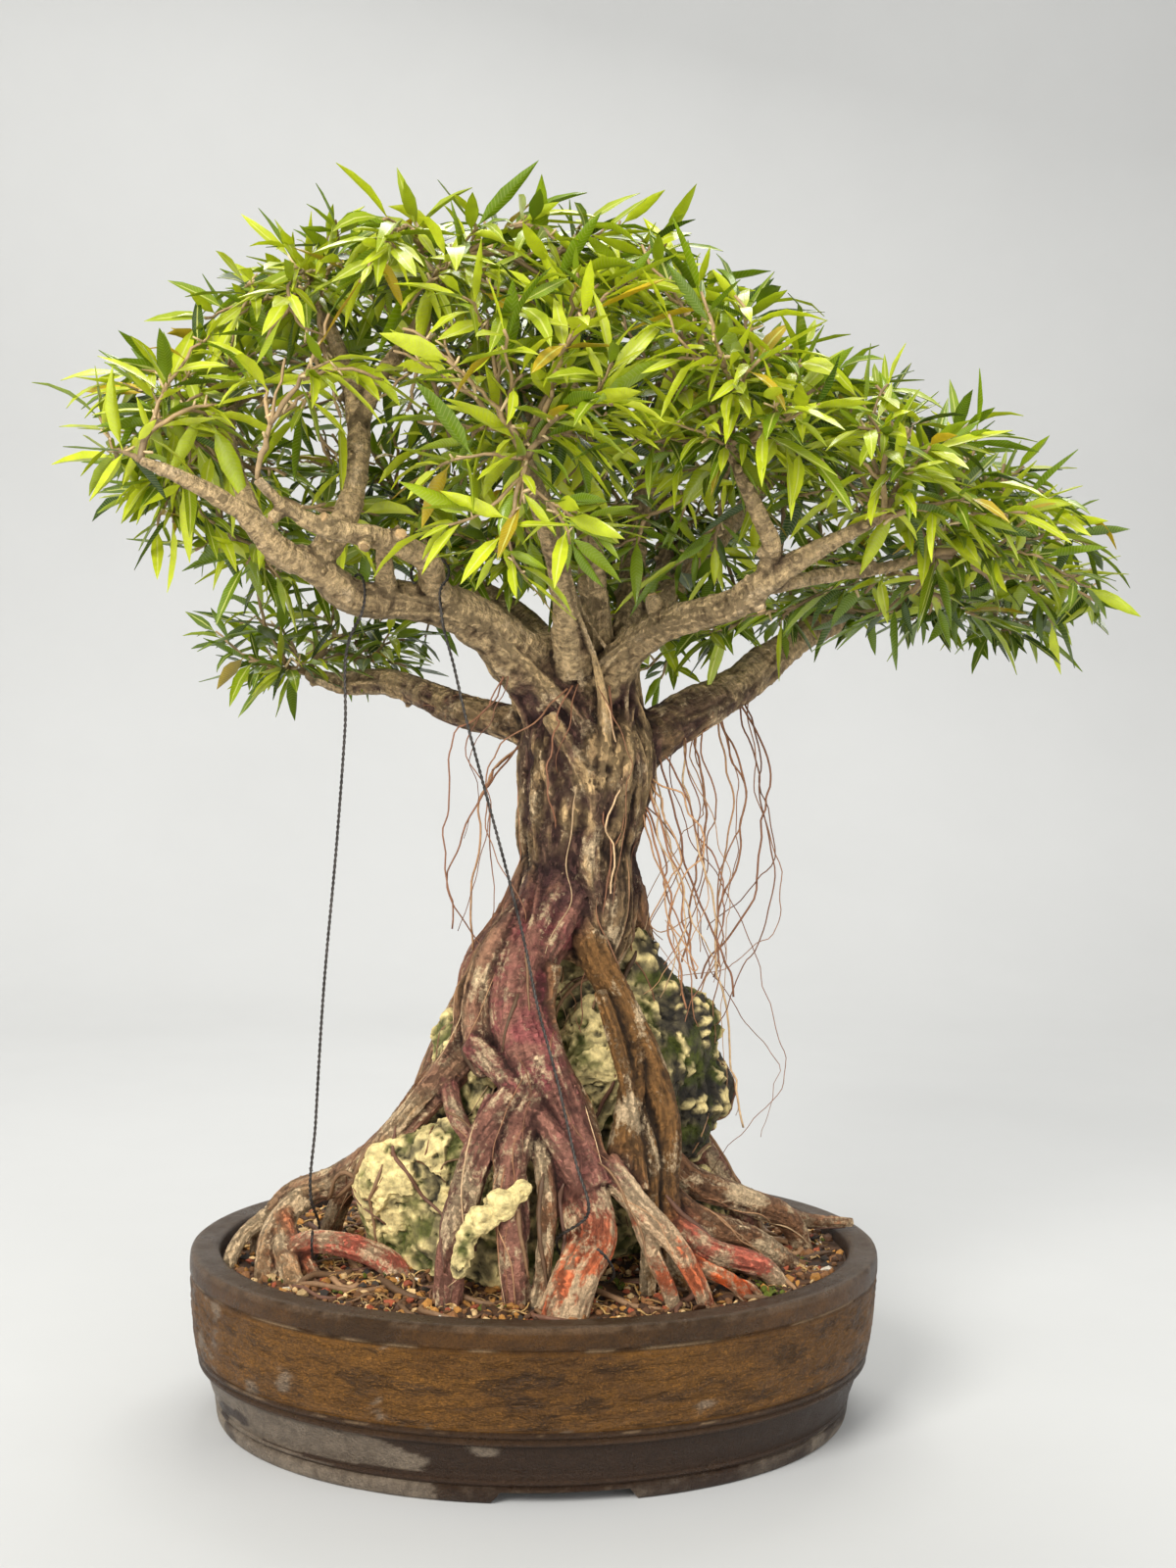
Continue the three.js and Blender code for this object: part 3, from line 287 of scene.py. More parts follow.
# Aerial roots as (x, y, z): thin strands that hang from the trunk and the limbs.
AERIAL_ROOTS = [
    [(70, 4, 440), (80, -6, 396), (98, -10, 340), (120, -8, 268)],
    [(90, 20, 452), (104, 2, 392), (122, 2, 300), (130, 2, 240), (128, 2, 186)],
    [(64, -6, 420), (76, -16, 374), (88, -18, 320), (102, -16, 284)],
    [(124, 46, 462), (134, 26, 390), (128, 14, 330), (112, 4, 284)],
    [(140, 58, 472), (158, 42, 410), (148, 26, 348), (106, 4, 286)],
    [(60, -12, 404), (74, -22, 342), (84, -24, 300), (98, -20, 262)],
    [(104, 34, 452), (112, 20, 392), (102, 6, 334), (88, -14, 296)],
    [(-24, -26, 488), (-56, -28, 444), (-62, -26, 390), (-58, -22, 320)],
    [(-14, 8, 436), (-42, -10, 408), (-50, -16, 352), (-46, -18, 308)],
    [(12, -40, 474), (-7, -47, 438), (4, -36, 366)],
    [(30, -38, 474), (48, -44, 424), (34, -38, 366), (28, -38, 318)],
]

# Rock: overlapping lumps as (x, y, z, half width, half depth, half height), and its underside.
ROCK_LUMPS = [
    (38, 14, 226, 62, 50, 88), (88, 22, 214, 46, 42, 56), (46, 16, 286, 33, 30, 38),
    (-66, -34, 146, 46, 46, 62), (-26, -62, 126, 48, 40, 52), (24, 4, 122, 92, 68, 58),
    (-34, -16, 212, 38, 34, 62),
    (28, -30, 232, 24, 24, 40), (-36, -126, 166, 11, 7, 9), (-47, -128, 156, 10, 7, 8),
    (-55, -128, 148, 6, 6, 7), (-25, -124, 172, 7, 6, 6), (-61, -131, 130, 6, 6, 9), (-58, -130, 139, 5, 5, 5),
]
ROCK_UNDERSIDE = 86
PALE_KNOBS_FRONT = -112
ROCK_TRIANGLES = 82000
WOOD_TRIANGLES = 174000

# Guy wires: a hook round a limb, the wire's points, and a hook round a root.
WIRES = {
    "guy_wire_left": {
        "top": ((-125, -61, 525.5), (1, 0.35, -0.05), 11.6),
        "route": [(-129, -61, 500), (-131, -60, 446), (-135, -58, 377), (-142, -55, 283),
                  (-146, -52, 198), (-148, -52, 150)],
        "foot": ((-145, -51, 125.3), (1, -0.2, 0), 9.8),
    },
    "guy_wire_right": {
        "top": ((-80.5, -65.5, 541), (0.2, 0.84, -0.5), 9.2),
        "route": [(-74, -80, 516), (-66, -81, 484), (-59, -84, 455), (-44, -91, 400),
                  (-33, -97, 360), (-23, -103, 321), (-14, -109, 279), (-4, -117, 242),
                  (8, -129, 190), (14, -143, 163)],
        "foot": ((14, -133, 133), (0.7, 0.65, 0.7), 17.6),
    },
}
WIRE_RADIUS = 1.1
HOOK_SLACK = 1.4
HOOK_TURN = 0.72
STRAND_OFFSET = 0.52
STRAND_RADIUS = 0.58
TWIST_PITCH = 7
COIL_REACH = 1.15
COIL_RADIUS = 0.55
COIL_PITCH = 3.4
COIL_STEPS = 26

# Crown: heights of its upper and lower edge across the width as (x, z), its depth and its shell.
CROWN_TOP = [(-305, 614), (-280, 668), (-240, 694), (-205, 722), (-175, 756), (-135, 776), (-60, 786),
             (-10, 788), (50, 782), (90, 758), (118, 726), (144, 696), (171, 686), (200, 686), (224, 674),
             (250, 664), (280, 650), (310, 628), (345, 594), (378, 562)]
CROWN_UNDER = [(-305, 622), (-285, 596), (-262, 566), (-230, 546), (-190, 528), (-150, 526), (-60, 540),
               (0, 540), (60, 496), (120, 494), (170, 507), (200, 515), (250, 516), (290, 506),
               (345, 512), (378, 524)]
CROWN_FRONT_UNDER = [(-305, 622), (-280, 600), (-230, 602), (-110, 624), (-70, 600), (0, 588), (60, 598),
                     (180, 580), (240, 546), (345, 516), (378, 522)]
CROWN_HALF_DEPTH = 238
CROWN_MID_X = 49
CROWN_HALF_WIDTH = 326
CROWN_SHELL = (0.56, 0.88)
LOW_PAD_CENTRE = (-146, 150, 502)
LOW_PAD_REACH = (86, 50, 28)

# Where the crown is thin and its twigs show, and shoots that hang lower than its edge.
OPEN_CENTRE = (-126, -60, 654)
OPEN_REACH = (114, 260, 60)
HANGING_SHOOTS = [
    (-80, -150, 562), (-34, -150, 577), (-48, -152, 548), (-30, -150, 534), (-4, -150, 556), (14, -146, 566),
    (0, -150, 574), (-84, -140, 596), (-282, -40, 632), (-262, -60, 610),
    (70, 140, 486), (40, 130, 494), (100, 150, 480), (10, 140, 500),
]

# Foliage: spacing of the leafy shoots, leaves on a shoot, and the sizes of a leaf.
SHOOT_SPACING = 24.5
OPEN_SPACING = 46
BARE_SPACING = 25
SHOOT_TRIES = 60000
SHOOT_LEAVES = (6, 11)
LEAF_LENGTH = (22, 47)
LEAF_SLENDERNESS = (3.9, 5.9)
LEAF_STATIONS = np.array([0, 0.1, 0.28, 0.5, 0.78, 1])
LEAF_OUTLINE = np.array([0.1, 0.13, 0.84, 1, 0.6, 0.03])
TWIG_RADIUS = 0.9


def srgb(*levels):
    """A colour given as it looks on a screen, from 0 to 255, turned into a linear one."""
    share = np.array(levels) / 255
    return np.where(share < 0.04045, share / 12.92, ((share + 0.055) / 1.055) ** 2.4)


# Colours of each surface.
STONEWARE = {
    "rim": srgb(82, 66, 50), "lip": srgb(112, 94, 76), "collar": srgb(60, 39, 16),
    "line": srgb(158, 132, 100), "body": srgb(122, 82, 32), "body_dark": srgb(86, 56, 22),
    "ledge": srgb(66, 46, 28), "band": srgb(50, 33, 19), "bloom": srgb(152, 137, 118),
    "inside": srgb(58, 41, 28),
}
# Barks as (dark, light): the dark colour fills the furrows and the light one the crests, so besides each
# bark's own tones they carry painted shade and painted light.
BARKS = {
    "trunk": (srgb(40, 26, 22), srgb(122, 94, 64)),
    "ridge": (srgb(82, 58, 40), srgb(208, 174, 124)),
    "limb": (srgb(82, 62, 42), srgb(198, 170, 126)),
    "crimson": (srgb(92, 54, 46), srgb(164, 112, 94)),
    "purple": (srgb(78, 46, 38), srgb(150, 102, 84)),
    "orange": (srgb(122, 58, 34), srgb(212, 114, 72)),
    "scarlet": (srgb(120, 58, 44), srgb(208, 112, 88)),
    "flame": (srgb(150, 52, 20), srgb(240, 106, 46)),
    "golden": (srgb(60, 40, 18), srgb(136, 96, 52)),
    "brown": (srgb(70, 44, 28), srgb(144, 102, 70)),
    "pale": (srgb(130, 88, 56), srgb(212, 166, 118)),
}

# How strongly strands, rings and pale flakes show on each bark.
BARK_WEIGHTS = {
    "trunk": (1.0, 0.0, 0.0), "ridge": (0.8, 0.1, 0.24), "limb": (0.5, 1.0, 0.0),
    "crimson": (0.35, 0.8, 0.18), "purple": (0.5, 0.4, 0.2), "orange": (0.9, 0.2, 0.4),
    "scarlet": (0.5, 0.2, 0.26), "flame": (0.4, 0.1, 0.16), "golden": (0.8, 0.2, 0.2),
    "brown": (0.9, 0.2, 0.24), "pale": (0.7, 0.2, 0.42),
}
SCALES = srgb(240, 210, 166)
STREAK = srgb(150, 68, 76)
PLUM = srgb(76, 46, 46)
ROCK_CREAM = srgb(236, 214, 148)
ROCK_GREY = srgb(136, 124, 84)
ROCK_DARK = srgb(58, 52, 40)
# The near-black below is painted shade for the rock's hollows.
ROCK_HOLLOW_SHADE = srgb(26, 22, 14)
MOSS = srgb(70, 78, 10)
SOIL_DARK = srgb(44, 29, 18)
GRIT = [
    (srgb(122, 82, 46), 5), (srgb(78, 50, 28), 5), (srgb(142, 70, 42), 1.8), (srgb(206, 172, 120), 2.4),
    (srgb(46, 38, 30), 1.4), (srgb(224, 214, 194), 0.5), (srgb(170, 118, 54), 3.4),
]
WOOD_CUT = srgb(202, 166, 116)
AERIAL_COLOURS = [srgb(182, 138, 98), srgb(158, 110, 76), srgb(126, 84, 58), srgb(206, 172, 130)]
ROOTLET_COLOURS = [srgb(128, 96, 66), srgb(106, 72, 54), srgb(152, 116, 82), srgb(88, 64, 42)]
LEAF_TONES = [srgb(52, 84, 6), srgb(126, 156, 8), srgb(216, 226, 44)]
OLD_LEAF = srgb(220, 190, 40)
LEAF_RIB = srgb(232, 236, 130)
STRAW = (srgb(206, 168, 104), srgb(122, 84, 46))
TWIG_BARK = [srgb(168, 140, 100), srgb(140, 118, 86), srgb(210, 184, 138)]
STEEL = (0.046, 0.041, 0.037, 1)
PLASTIC = (0.03, 0.032, 0.036, 1)
WALL = (0.57, 0.575, 0.57, 1)

# Lights as (name, place in metres, size, power, colour), and the point that they face.
LIGHTS = [
    ("key", (-1.5, -2.1, 1.9), (1.2, 1.2), 92, (1.0, 0.98, 0.94)),
    ("fill", (1.9, -1.8, 1.1), (1.8, 1.8), 16, (0.98, 0.99, 1.0)),
    ("back", (0.3, 1.3, 2.4), (1.6, 1.0), 34, (1.0, 0.99, 0.96)),
    ("low", (0.2, -2.8, 0.5), (2.0, 1.2), 14, (1.0, 0.99, 0.97)),
]
LIGHT_AIM = (0, 0, 0.4)


def lattice(corners, seed):
    """A repeatable number from 0 to 1 for each corner of a grid."""
    bits = corners @ np.array([73856093, 19349663, 83492791]) + seed * 40503
    bits = (bits ^ (bits >> 13)) * 1274126177
    bits = (bits ^ (bits >> 16)) & 0xFFFFFF
    return bits / 0xFFFFFF


def noise(points, size, seed=0, octaves=1):
    """Smooth noise from -1 to 1, with bumps of that size in mm, or of a size along each axis."""
    total = np.zeros(len(points))
    strength = 1.0
    for octave in range(octaves):
        scaled = points / np.array(size) * 2 ** octave + 31.7 * octave
        low = np.floor(scaled).astype(np.int64)
        part = scaled - low
        part = part * part * (3 - 2 * part)
        for corner in itertools.product((0, 1), repeat=3):
            weight = np.prod(np.where(corner, part, 1 - part), axis=1)
            total += strength * weight * (2 * lattice(low + np.array(corner), seed + octave) - 1)
        strength /= 2
    return total / (2 - 2 * strength)


def ridged(points, size, seed=0, octaves=1):
    """Noise of sharp crests, from 0 in the furrows to 1 on the crests."""
    return 1 - np.abs(noise(points, size, seed, octaves)) * 2


def cells(points, size, seed=0):
    """For scattered seeds: how far the nearest is, how much further the next, and the nearest one's number."""
    scaled = points / size
    home = np.floor(scaled).astype(np.int64)
    first, second, number = np.full(len(points), 9.0), np.full(len(points), 9.0), np.zeros(len(points))
    for step in itertools.product((-1, 0, 1), repeat=3):
        cell = home + np.array(step)
        spot = cell + np.stack([lattice(cell, seed + axis) for axis in range(3)], axis=-1)
        gap = np.linalg.norm(scaled - spot, axis=1)
        nearer = gap < first
        second = np.where(nearer, first, np.minimum(second, gap))
        number = np.where(nearer, lattice(cell, seed + 3), number)
        first = np.where(nearer, gap, first)
    return first, second - first, number


def smooth_step(low, high, value):
    """A smooth rise from 0 at the low value to 1 at the high one, or a fall where low is above high."""
    share = np.clip((value - low) / (high - low), 0, 1)
    return share * share * (3 - 2 * share)


def blend(first, second, share):
    """Colours, or other rows of numbers, between two, by a share at each point."""
    return first + (np.asarray(second) - first) * np.asarray(share)[..., None]


def unit(vectors):
    """The vectors at a length of 1."""
    return vectors / np.linalg.norm(vectors, axis=-1, keepdims=True)


def spline(route, step):
    """Even points on a smooth curve through the route, and how far along each one lies."""
    route = np.asarray(route, float)
    gaps = np.linalg.norm(np.diff(route[:, :3], axis=0), axis=1)
    knots = np.concatenate([[0], np.cumsum(gaps)])
    slopes = np.gradient(route, knots, axis=0)
    along = np.linspace(0, knots[-1], max(3, round(knots[-1] / step) + 1))
    k = np.clip(np.searchsorted(knots, along, side="right") - 1, 0, len(knots) - 2)
    span = (knots[k + 1] - knots[k])[:, None]
    t = (along - knots[k])[:, None] / span
    start = (2 * t ** 3 - 3 * t ** 2 + 1) * route[k] + (t ** 3 - 2 * t ** 2 + t) * span * slopes[k]
    finish = (3 * t ** 2 - 2 * t ** 3) * route[k + 1] + (t ** 3 - t ** 2) * span * slopes[k + 1]
    return start + finish, along


def frames_along(points):
    """The direction of travel at each point, and two sideways directions that don't twist."""
    ways = unit(np.gradient(points, axis=0))
    guide = np.roll(ways[0], 1)
    across = np.empty_like(ways)
    for i, way in enumerate(ways):
        guide = guide - way * (guide @ way)
        guide = guide / np.linalg.norm(guide)
        across[i] = guide
    return ways, across, np.cross(ways, across)


class Shape:
    """Vertices in mm, faces and named values at the vertices, gathered piece by piece."""

    def __init__(self):
        self.points = []
        self.quads = []
        self.triangles = []
        self.values = {}
        self.count = 0

    def add(self, points, quads=(), triangles=(), **values):
        for faces, kept, size in ((quads, self.quads, 4), (triangles, self.triangles, 3)):
            kept.append(np.asarray(faces, int).reshape(-1, size) + self.count)
        for name, value in values.items():
            value = np.asarray(value, float)
            if value.shape[:1] != (len(points),):
                value = np.broadcast_to(value, (len(points), *value.shape))
            self.values.setdefault(name, []).append(value)
        self.points.append(np.asarray(points, float))
        self.count += len(points)

    def gathered(self):
        values = {name: np.concatenate(parts) for name, parts in self.values.items()}
        faces = np.concatenate(self.quads), np.concatenate(self.triangles)
        return np.concatenate(self.points), *faces, values


def in_metres(points):
    """Places in mm round the pot's foot, as the flat row of metres that Blender reads."""
    return (points * MM + FOOT_CENTRE).astype(np.float32).ravel()


def store(mesh, name, kind, field, values):
    """Keeps something at each vertex under a name, for a material or a later step to read."""
    mesh.attributes.new(name, kind, "POINT").data.foreach_set(field, values.astype(np.float32).ravel())


def set_values(mesh, name, values):
    """Stores a number at each vertex."""
    store(mesh, name, "FLOAT", "value", values)


def set_colours(mesh, name, colours):
    """Stores a colour at each vertex."""
    store(mesh, name, "FLOAT_COLOR", "color", np.hstack([colours, np.ones((len(colours), 1))]))


def set_tint(mesh, colours, name="tint"):
    """Stores a colour at each vertex, held between 0 and 1."""
    set_colours(mesh, name, np.clip(colours, 0, 1))


def set_flow(mesh, places):
    """Stores places in metres along and round the wood, which the bark's grain follows."""
    store(mesh, "flow", "FLOAT_VECTOR", "vector", places * MM)


def mesh_from(name, shape):
    """A Blender mesh in metres of the row frame, with the shape's values as attributes."""
    points, quads, triangles, values = shape.gathered()
    mesh = bpy.data.meshes.new(name)
    mesh.vertices.add(len(points))
    mesh.vertices.foreach_set("co", in_metres(points))
    corners = np.concatenate([quads.ravel(), triangles.ravel()])
    sizes = np.concatenate([np.full(len(quads), 4), np.full(len(triangles), 3)])
    mesh.loops.add(len(corners))
    mesh.loops.foreach_set("vertex_index", corners.astype(np.int32))
    mesh.polygons.add(len(sizes))
    mesh.polygons.foreach_set("loop_start", (np.cumsum(sizes) - sizes).astype(np.int32))
    mesh.update(calc_edges=True)
    mesh.shade_smooth()
    for key, value in values.items():
        if value.ndim == 2:
            set_colours(mesh, key, value)
        else:
            set_values(mesh, key, value)
    return mesh


def new_object(name, data):
    """An object that shows this data, linked into the scene."""
    made = bpy.data.objects.new(name, data)
    bpy.context.scene.collection.objects.link(made)
    return made


def add_piece(name, shape, material, slot, *nodes, crease=None):
    """Puts the shape in the scene as a piece that rides on the tree's one body."""
    mesh = shape if isinstance(shape, bpy.types.Mesh) else mesh_from(name, shape)
    if crease is not None:
        mesh.set_sharp_from_angle(angle=math.radians(crease))
    piece = new_object(name, mesh)
    mesh.materials.clear()
    mesh.materials.append(material)
    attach(piece, "root")
    if nodes:
        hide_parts(*nodes)
    return piece


def modified(mesh, *steps):
    """The mesh after some modifiers, each given as its kind and its settings."""
    helper = new_object("helper", mesh)
    for kind, settings in steps:
        modifier = helper.modifiers.new(kind.lower(), kind)
        for key, value in settings.items():
            setattr(modifier, key, value)
    graph = bpy.context.evaluated_depsgraph_get()
    result = bpy.data.meshes.new_from_object(helper.evaluated_get(graph))
    bpy.data.objects.remove(helper)
    bpy.data.meshes.remove(mesh)
    return result


def read_field(items, field, width=1, kind=np.float32):
    """A field of all of a mesh's items, with one row for each."""
    values = np.empty(width * len(items), kind)
    items.foreach_get(field, values)
    return values.reshape(-1, width)


def points_of(mesh):
    """A mesh's vertices in mm round the pot's foot."""
    return (read_field(mesh.vertices, "co", 3).astype(float) - FOOT_CENTRE) / MM


def normals_of(mesh):
    """The direction that each vertex faces."""
    return read_field(mesh.vertex_normals, "vector", 3).astype(float)


def spread_over(mesh, values, rounds):
    """Values at the vertices, each averaged with its neighbours several times."""
    edges = read_field(mesh.edges, "vertices", 2, np.int32)
    ends, others = edges.T.ravel(), edges[:, ::-1].T.ravel()
    count = len(mesh.vertices)
    share = np.maximum(np.bincount(ends, minlength=count), 1)
    for _ in range(rounds):
        columns = [np.bincount(ends, column[others], count) / share for column in values.T]
        values = 0.3 * values + 0.7 * np.stack(columns, axis=-1)
    return values


def height_over(mesh, rounds):
    """How far each vertex stands out of the smoothed surface round it, in mm; hollows are below 0."""
    points = points_of(mesh)
    return np.sum((points - spread_over(mesh, points, rounds)) * normals_of(mesh), axis=1)


def move_points(mesh, points):
    """Moves the mesh's vertices to these places in mm."""
    mesh.vertices.foreach_set("co", in_metres(points))
    mesh.update()


def values_of(mesh, name):
    """The number that the mesh keeps at each vertex under a name."""
    return read_field(mesh.attributes[name].data, "value")[:, 0].astype(float)


def add_node(tree, kind, inputs=(), **settings):
    """A shader node with its settings; an input is a number, a colour or another node's socket."""
    made = tree.nodes.new("ShaderNode" + kind)
    for key, value in settings.items():
        setattr(made, key, value)
    for key, value in dict(inputs).items():
        if isinstance(value, bpy.types.NodeSocket):
            tree.links.new(value, made.inputs[key])
        else:
            made.inputs[key].default_value = value
    return made


def new_material(name, **sockets):
    """A material with its node tree and shader; in a socket's name an underscore stands for a space."""
    material = bpy.data.materials.new(name)
    material.use_nodes = True
    tree = material.node_tree
    shader = tree.nodes["Principled BSDF"]
    for key, value in sockets.items():
        shader.inputs[key.replace("_", " ")].default_value = value
    return material, tree, shader


def feed(tree, shader, **sockets):
    """Links values to the shader's sockets, named as in new_material."""
    for key, value in sockets.items():
        tree.links.new(value, shader.inputs[key.replace("_", " ")])


def stored(tree, name, output="Color"):
    """What the mesh keeps at its vertices under a name."""
    return add_node(tree, "Attribute", attribute_name=name).outputs[output]


def grain_of(tree, places, scale, detail=5, roughness=0.6):
    """Procedural noise from 0 to 1 at the places."""
    inputs = {"Vector": places, "Scale": scale, "Detail": detail, "Roughness": roughness}
    return add_node(tree, "TexNoise", inputs).outputs["Fac"]


def ranged(tree, value, low, high, to_low, to_high):
    """A value carried from one range to another, and held inside it."""
    inputs = {"Value": value, "From Min": low, "From Max": high, "To Min": to_low, "To Max": to_high}
    return add_node(tree, "MapRange", inputs).outputs["Result"]


def math_of(tree, operation, *values):
    """One step of arithmetic."""
    return add_node(tree, "Math", dict(enumerate(values)), operation=operation).outputs[0]


def mixed(tree, first, second, share, blend_type="MIX"):
    """Two colours blended by a share."""
    inputs = {"Factor": share, 6: first, 7: second}
    return add_node(tree, "Mix", inputs, data_type="RGBA", blend_type=blend_type).outputs[2]


def mottled(tree, colour, places, scale, low, high):
    """A colour made darker and lighter by procedural noise."""
    shade = ranged(tree, grain_of(tree, places, scale, 6, 0.62), 0.3, 0.7, low, high)
    return mixed(tree, colour, shade, 1.0, "MULTIPLY")


def add_bump(tree, height, strength, distance, normal=None, **settings):
    """Relief by a height, over the relief that is there already; the distance is in metres."""
    inputs = {"Height": height, "Strength": strength, "Distance": distance}
    if normal:
        inputs["Normal"] = normal
    return add_node(tree, "Bump", inputs, **settings).outputs["Normal"]


def bumped(tree, shader, places, *layers):
    """Relief finer than the mesh: each layer is (scale, strength, height in metres)."""
    normal = None
    for scale, strength, height in layers:
        normal = add_bump(tree, grain_of(tree, places, scale, 8, 0.65), strength, height, normal)
    feed(tree, shader, Normal=normal)


def varied_roughness(tree, shader, places, scale, low, high):
    """Uneven sheen, by a roughness that wanders between two values."""
    grain = grain_of(tree, places, scale, 4, 0.5)
    feed(tree, shader, Roughness=ranged(tree, grain, 0.3, 0.7, low, high))


def mapped(tree, places, scale):
    """Places squeezed or stretched along each axis."""
    return add_node(tree, "Mapping", {"Vector": places, "Scale": scale}).outputs[0]


def stretched_places(tree, scale=(1, 1, 1)):
    """The object's own coordinates in metres, squeezed or stretched along each axis."""
    return mapped(tree, add_node(tree, "TexCoord").outputs["Object"], scale)


def surface_material(name, shade, layers, rough, colour=None, scale=(1, 1, 1), **sockets):
    """A surface in one colour, or in the mesh's own tint, with grain, relief and uneven sheen."""
    material, tree, shader = new_material(name, **sockets)
    places = stretched_places(tree, scale)
    ground = stored(tree, "tint") if colour is None else colour
    feed(tree, shader, Base_Color=mottled(tree, ground, places, *shade))
    bumped(tree, shader, places, *layers)
    varied_roughness(tree, shader, places, *rough)
    return material


def stoneware_material():
    """Damp unglazed stoneware: the wall's panel is grainy, with worn smooth patches and wavy torn edges that
    carry a painted highlight.
    """
    material, tree, shader = new_material("unglazed_stoneware", Specular_IOR_Level=0.28)
    places, even = stretched_places(tree, (1, 1, 3.0)), stretched_places(tree)
    panel = stored(tree, "panel", "Fac")
    bend = add_node(tree, "TexNoise", {"Vector": even, "Scale": 60.0, "Detail": 3})
    shifted = add_node(tree, "VectorMath", {0: bend.outputs["Color"], "Scale": 0.014}, operation="SCALE")
    swept = add_node(tree, "VectorMath", {0: places, 1: shifted.outputs[0]}, operation="ADD").outputs[0]
    layers = math_of(tree, "MULTIPLY", grain_of(tree, swept, 46.0, 5, 0.56), 11.0)
    step = math_of(tree, "FRACT", layers)
    # Painted highlight: the clay is made lighter along the crest of each torn edge on the panel.
    torn = math_of(tree, "MULTIPLY", ranged(tree, step, 0.0, 0.2, 1.0, -0.25), panel)
    worn = ranged(tree, grain_of(tree, swept, 30.0, 4, 0.5), 0.4, 0.47, 1.0, 0.0)
    smooth = math_of(tree, "MULTIPLY", worn, panel)
    grain = ranged(tree, grain_of(tree, even, 620.0, 5, 0.7), 0.3, 0.7, -1.0, 1.0)
    rough = math_of(tree, "MULTIPLY", grain, math_of(tree, "MULTIPLY_ADD", smooth, -0.6, 1.0))
    shade = math_of(tree, "MULTIPLY_ADD", rough, 0.36, math_of(tree, "MULTIPLY_ADD", smooth, -0.4, 1.0))
    lit = math_of(tree, "MULTIPLY_ADD", torn, 0.85, shade)
    clay = mottled(tree, stored(tree, "tint"), even, 150.0, 0.86, 1.14)
    raised = math_of(tree, "MULTIPLY", math_of(tree, "SUBTRACT", 1.0, step), panel)
    relief = math_of(tree, "MULTIPLY_ADD", rough, 0.32, raised)
    damp = ranged(tree, grain_of(tree, even, 45.0, 4), 0.3, 0.7, 0.22, 0.46)
    feed(tree, shader, Base_Color=mixed(tree, clay, lit, 1.0, "MULTIPLY"),
         Normal=add_bump(tree, relief, 0.9, 0.0018),
         Roughness=math_of(tree, "MULTIPLY_ADD", panel, 0.14, damp))
    return material


def bark_material():
    """Bark whose grain runs along the trunk and round the limbs, with pale flakes, mostly on the roots."""
    material, tree, shader = new_material("ridged_bark", Specular_IOR_Level=0.3)
    places, flow = stretched_places(tree), stored(tree, "flow", "Vector")
    strands, rings, cover = add_node(tree, "SeparateColor", {"Color": stored(tree, "weights")}).outputs
    lengthwise, crosswise = mapped(tree, flow, (1, 1, 0.2)), mapped(tree, flow, (0.3, 0.3, 1))
    strand = ranged(tree, grain_of(tree, lengthwise, 300.0, 6), 0.36, 0.64, -1.0, 1.0)
    ring = ranged(tree, grain_of(tree, crosswise, 420.0, 5), 0.38, 0.62, -1.0, 1.0)
    speck = ranged(tree, grain_of(tree, places, 340.0, 6), 0.34, 0.66, -1.0, 1.0)
    drawn = math_of(tree, "MULTIPLY", strand, strands)
    ringed = math_of(tree, "MULTIPLY", ring, rings)
    both = math_of(tree, "MULTIPLY_ADD", ringed, 0.62, drawn)
    rough = math_of(tree, "MULTIPLY_ADD", speck, 0.55, both)
    shade = ranged(tree, rough, -1.7, 1.7, 0.16, 1.84)
    bare = mixed(tree, stored(tree, "tint"), shade, 1.0, "MULTIPLY")
    flake = grain_of(tree, places, 420.0, 6, 0.68)
    patch = grain_of(tree, places, 120.0, 4, 0.6)
    drawn_out = grain_of(tree, lengthwise, 190.0, 5)
    grains = math_of(tree, "MULTIPLY_ADD", drawn_out, 0.4, math_of(tree, "MULTIPLY", flake, 0.38))
    grains = math_of(tree, "MULTIPLY_ADD", patch, 0.22, grains)
    edge = math_of(tree, "MULTIPLY_ADD", cover, 0.42, grains)
    mask = ranged(tree, edge, 0.61, 0.7, 0.0, 0.86)
    pale = mixed(tree, mottled(tree, (*SCALES, 1), places, 600.0, 0.55, 1.3),
                 ranged(tree, rough, -1.5, 1.5, 0.5, 1.3), 1.0, "MULTIPLY")
    relief = math_of(tree, "MULTIPLY_ADD", mask, 0.7, rough)
    feed(tree, shader, Base_Color=mixed(tree, bare, pale, mask), Normal=add_bump(tree, relief, 0.9, 0.0016))
    varied_roughness(tree, shader, places, 90.0, 0.5, 0.85)
    return material


def leaf_material():
    """A glossy leaf: pale midrib and side veins on a green that varies from leaf to leaf."""
    material, tree, shader = new_material("living_leaf", Roughness=0.3, Coat_Weight=0.45,
                                          Coat_Roughness=0.15, Specular_IOR_Level=0.5)
    aside = math_of(tree, "ABSOLUTE", stored(tree, "across", "Fac"))
    rib = ranged(tree, aside, 0.06, 0.2, 0.85, 0.0)
    slant = math_of(tree, "MULTIPLY_ADD", aside, -0.09, stored(tree, "along", "Fac"))
    veins = math_of(tree, "SINE", math_of(tree, "MULTIPLY", slant, 128.0))
    vein = ranged(tree, veins, 0.5, 1.0, 0.0, 0.3)
    base = mottled(tree, stored(tree, "tint"), stretched_places(tree), 90.0, 0.84, 1.16)
    veined = mixed(tree, base, (*LEAF_RIB * 0.7, 1), vein)
    ribbed = mixed(tree, veined, (*LEAF_RIB, 1), rib)
    height = math_of(tree, "ADD", vein, rib)
    feed(tree, shader, Base_Color=ribbed, Normal=add_bump(tree, height, 0.35, 0.0006, invert=True))
    through = add_node(tree, "BsdfTranslucent", {"Color": ribbed})
    both = add_node(tree, "MixShader", {0: 0.33, 1: shader.outputs[0], 2: through.outputs[0]})
    tree.links.new(both.outputs[0], tree.nodes["Material Output"].inputs["Surface"])
    return material


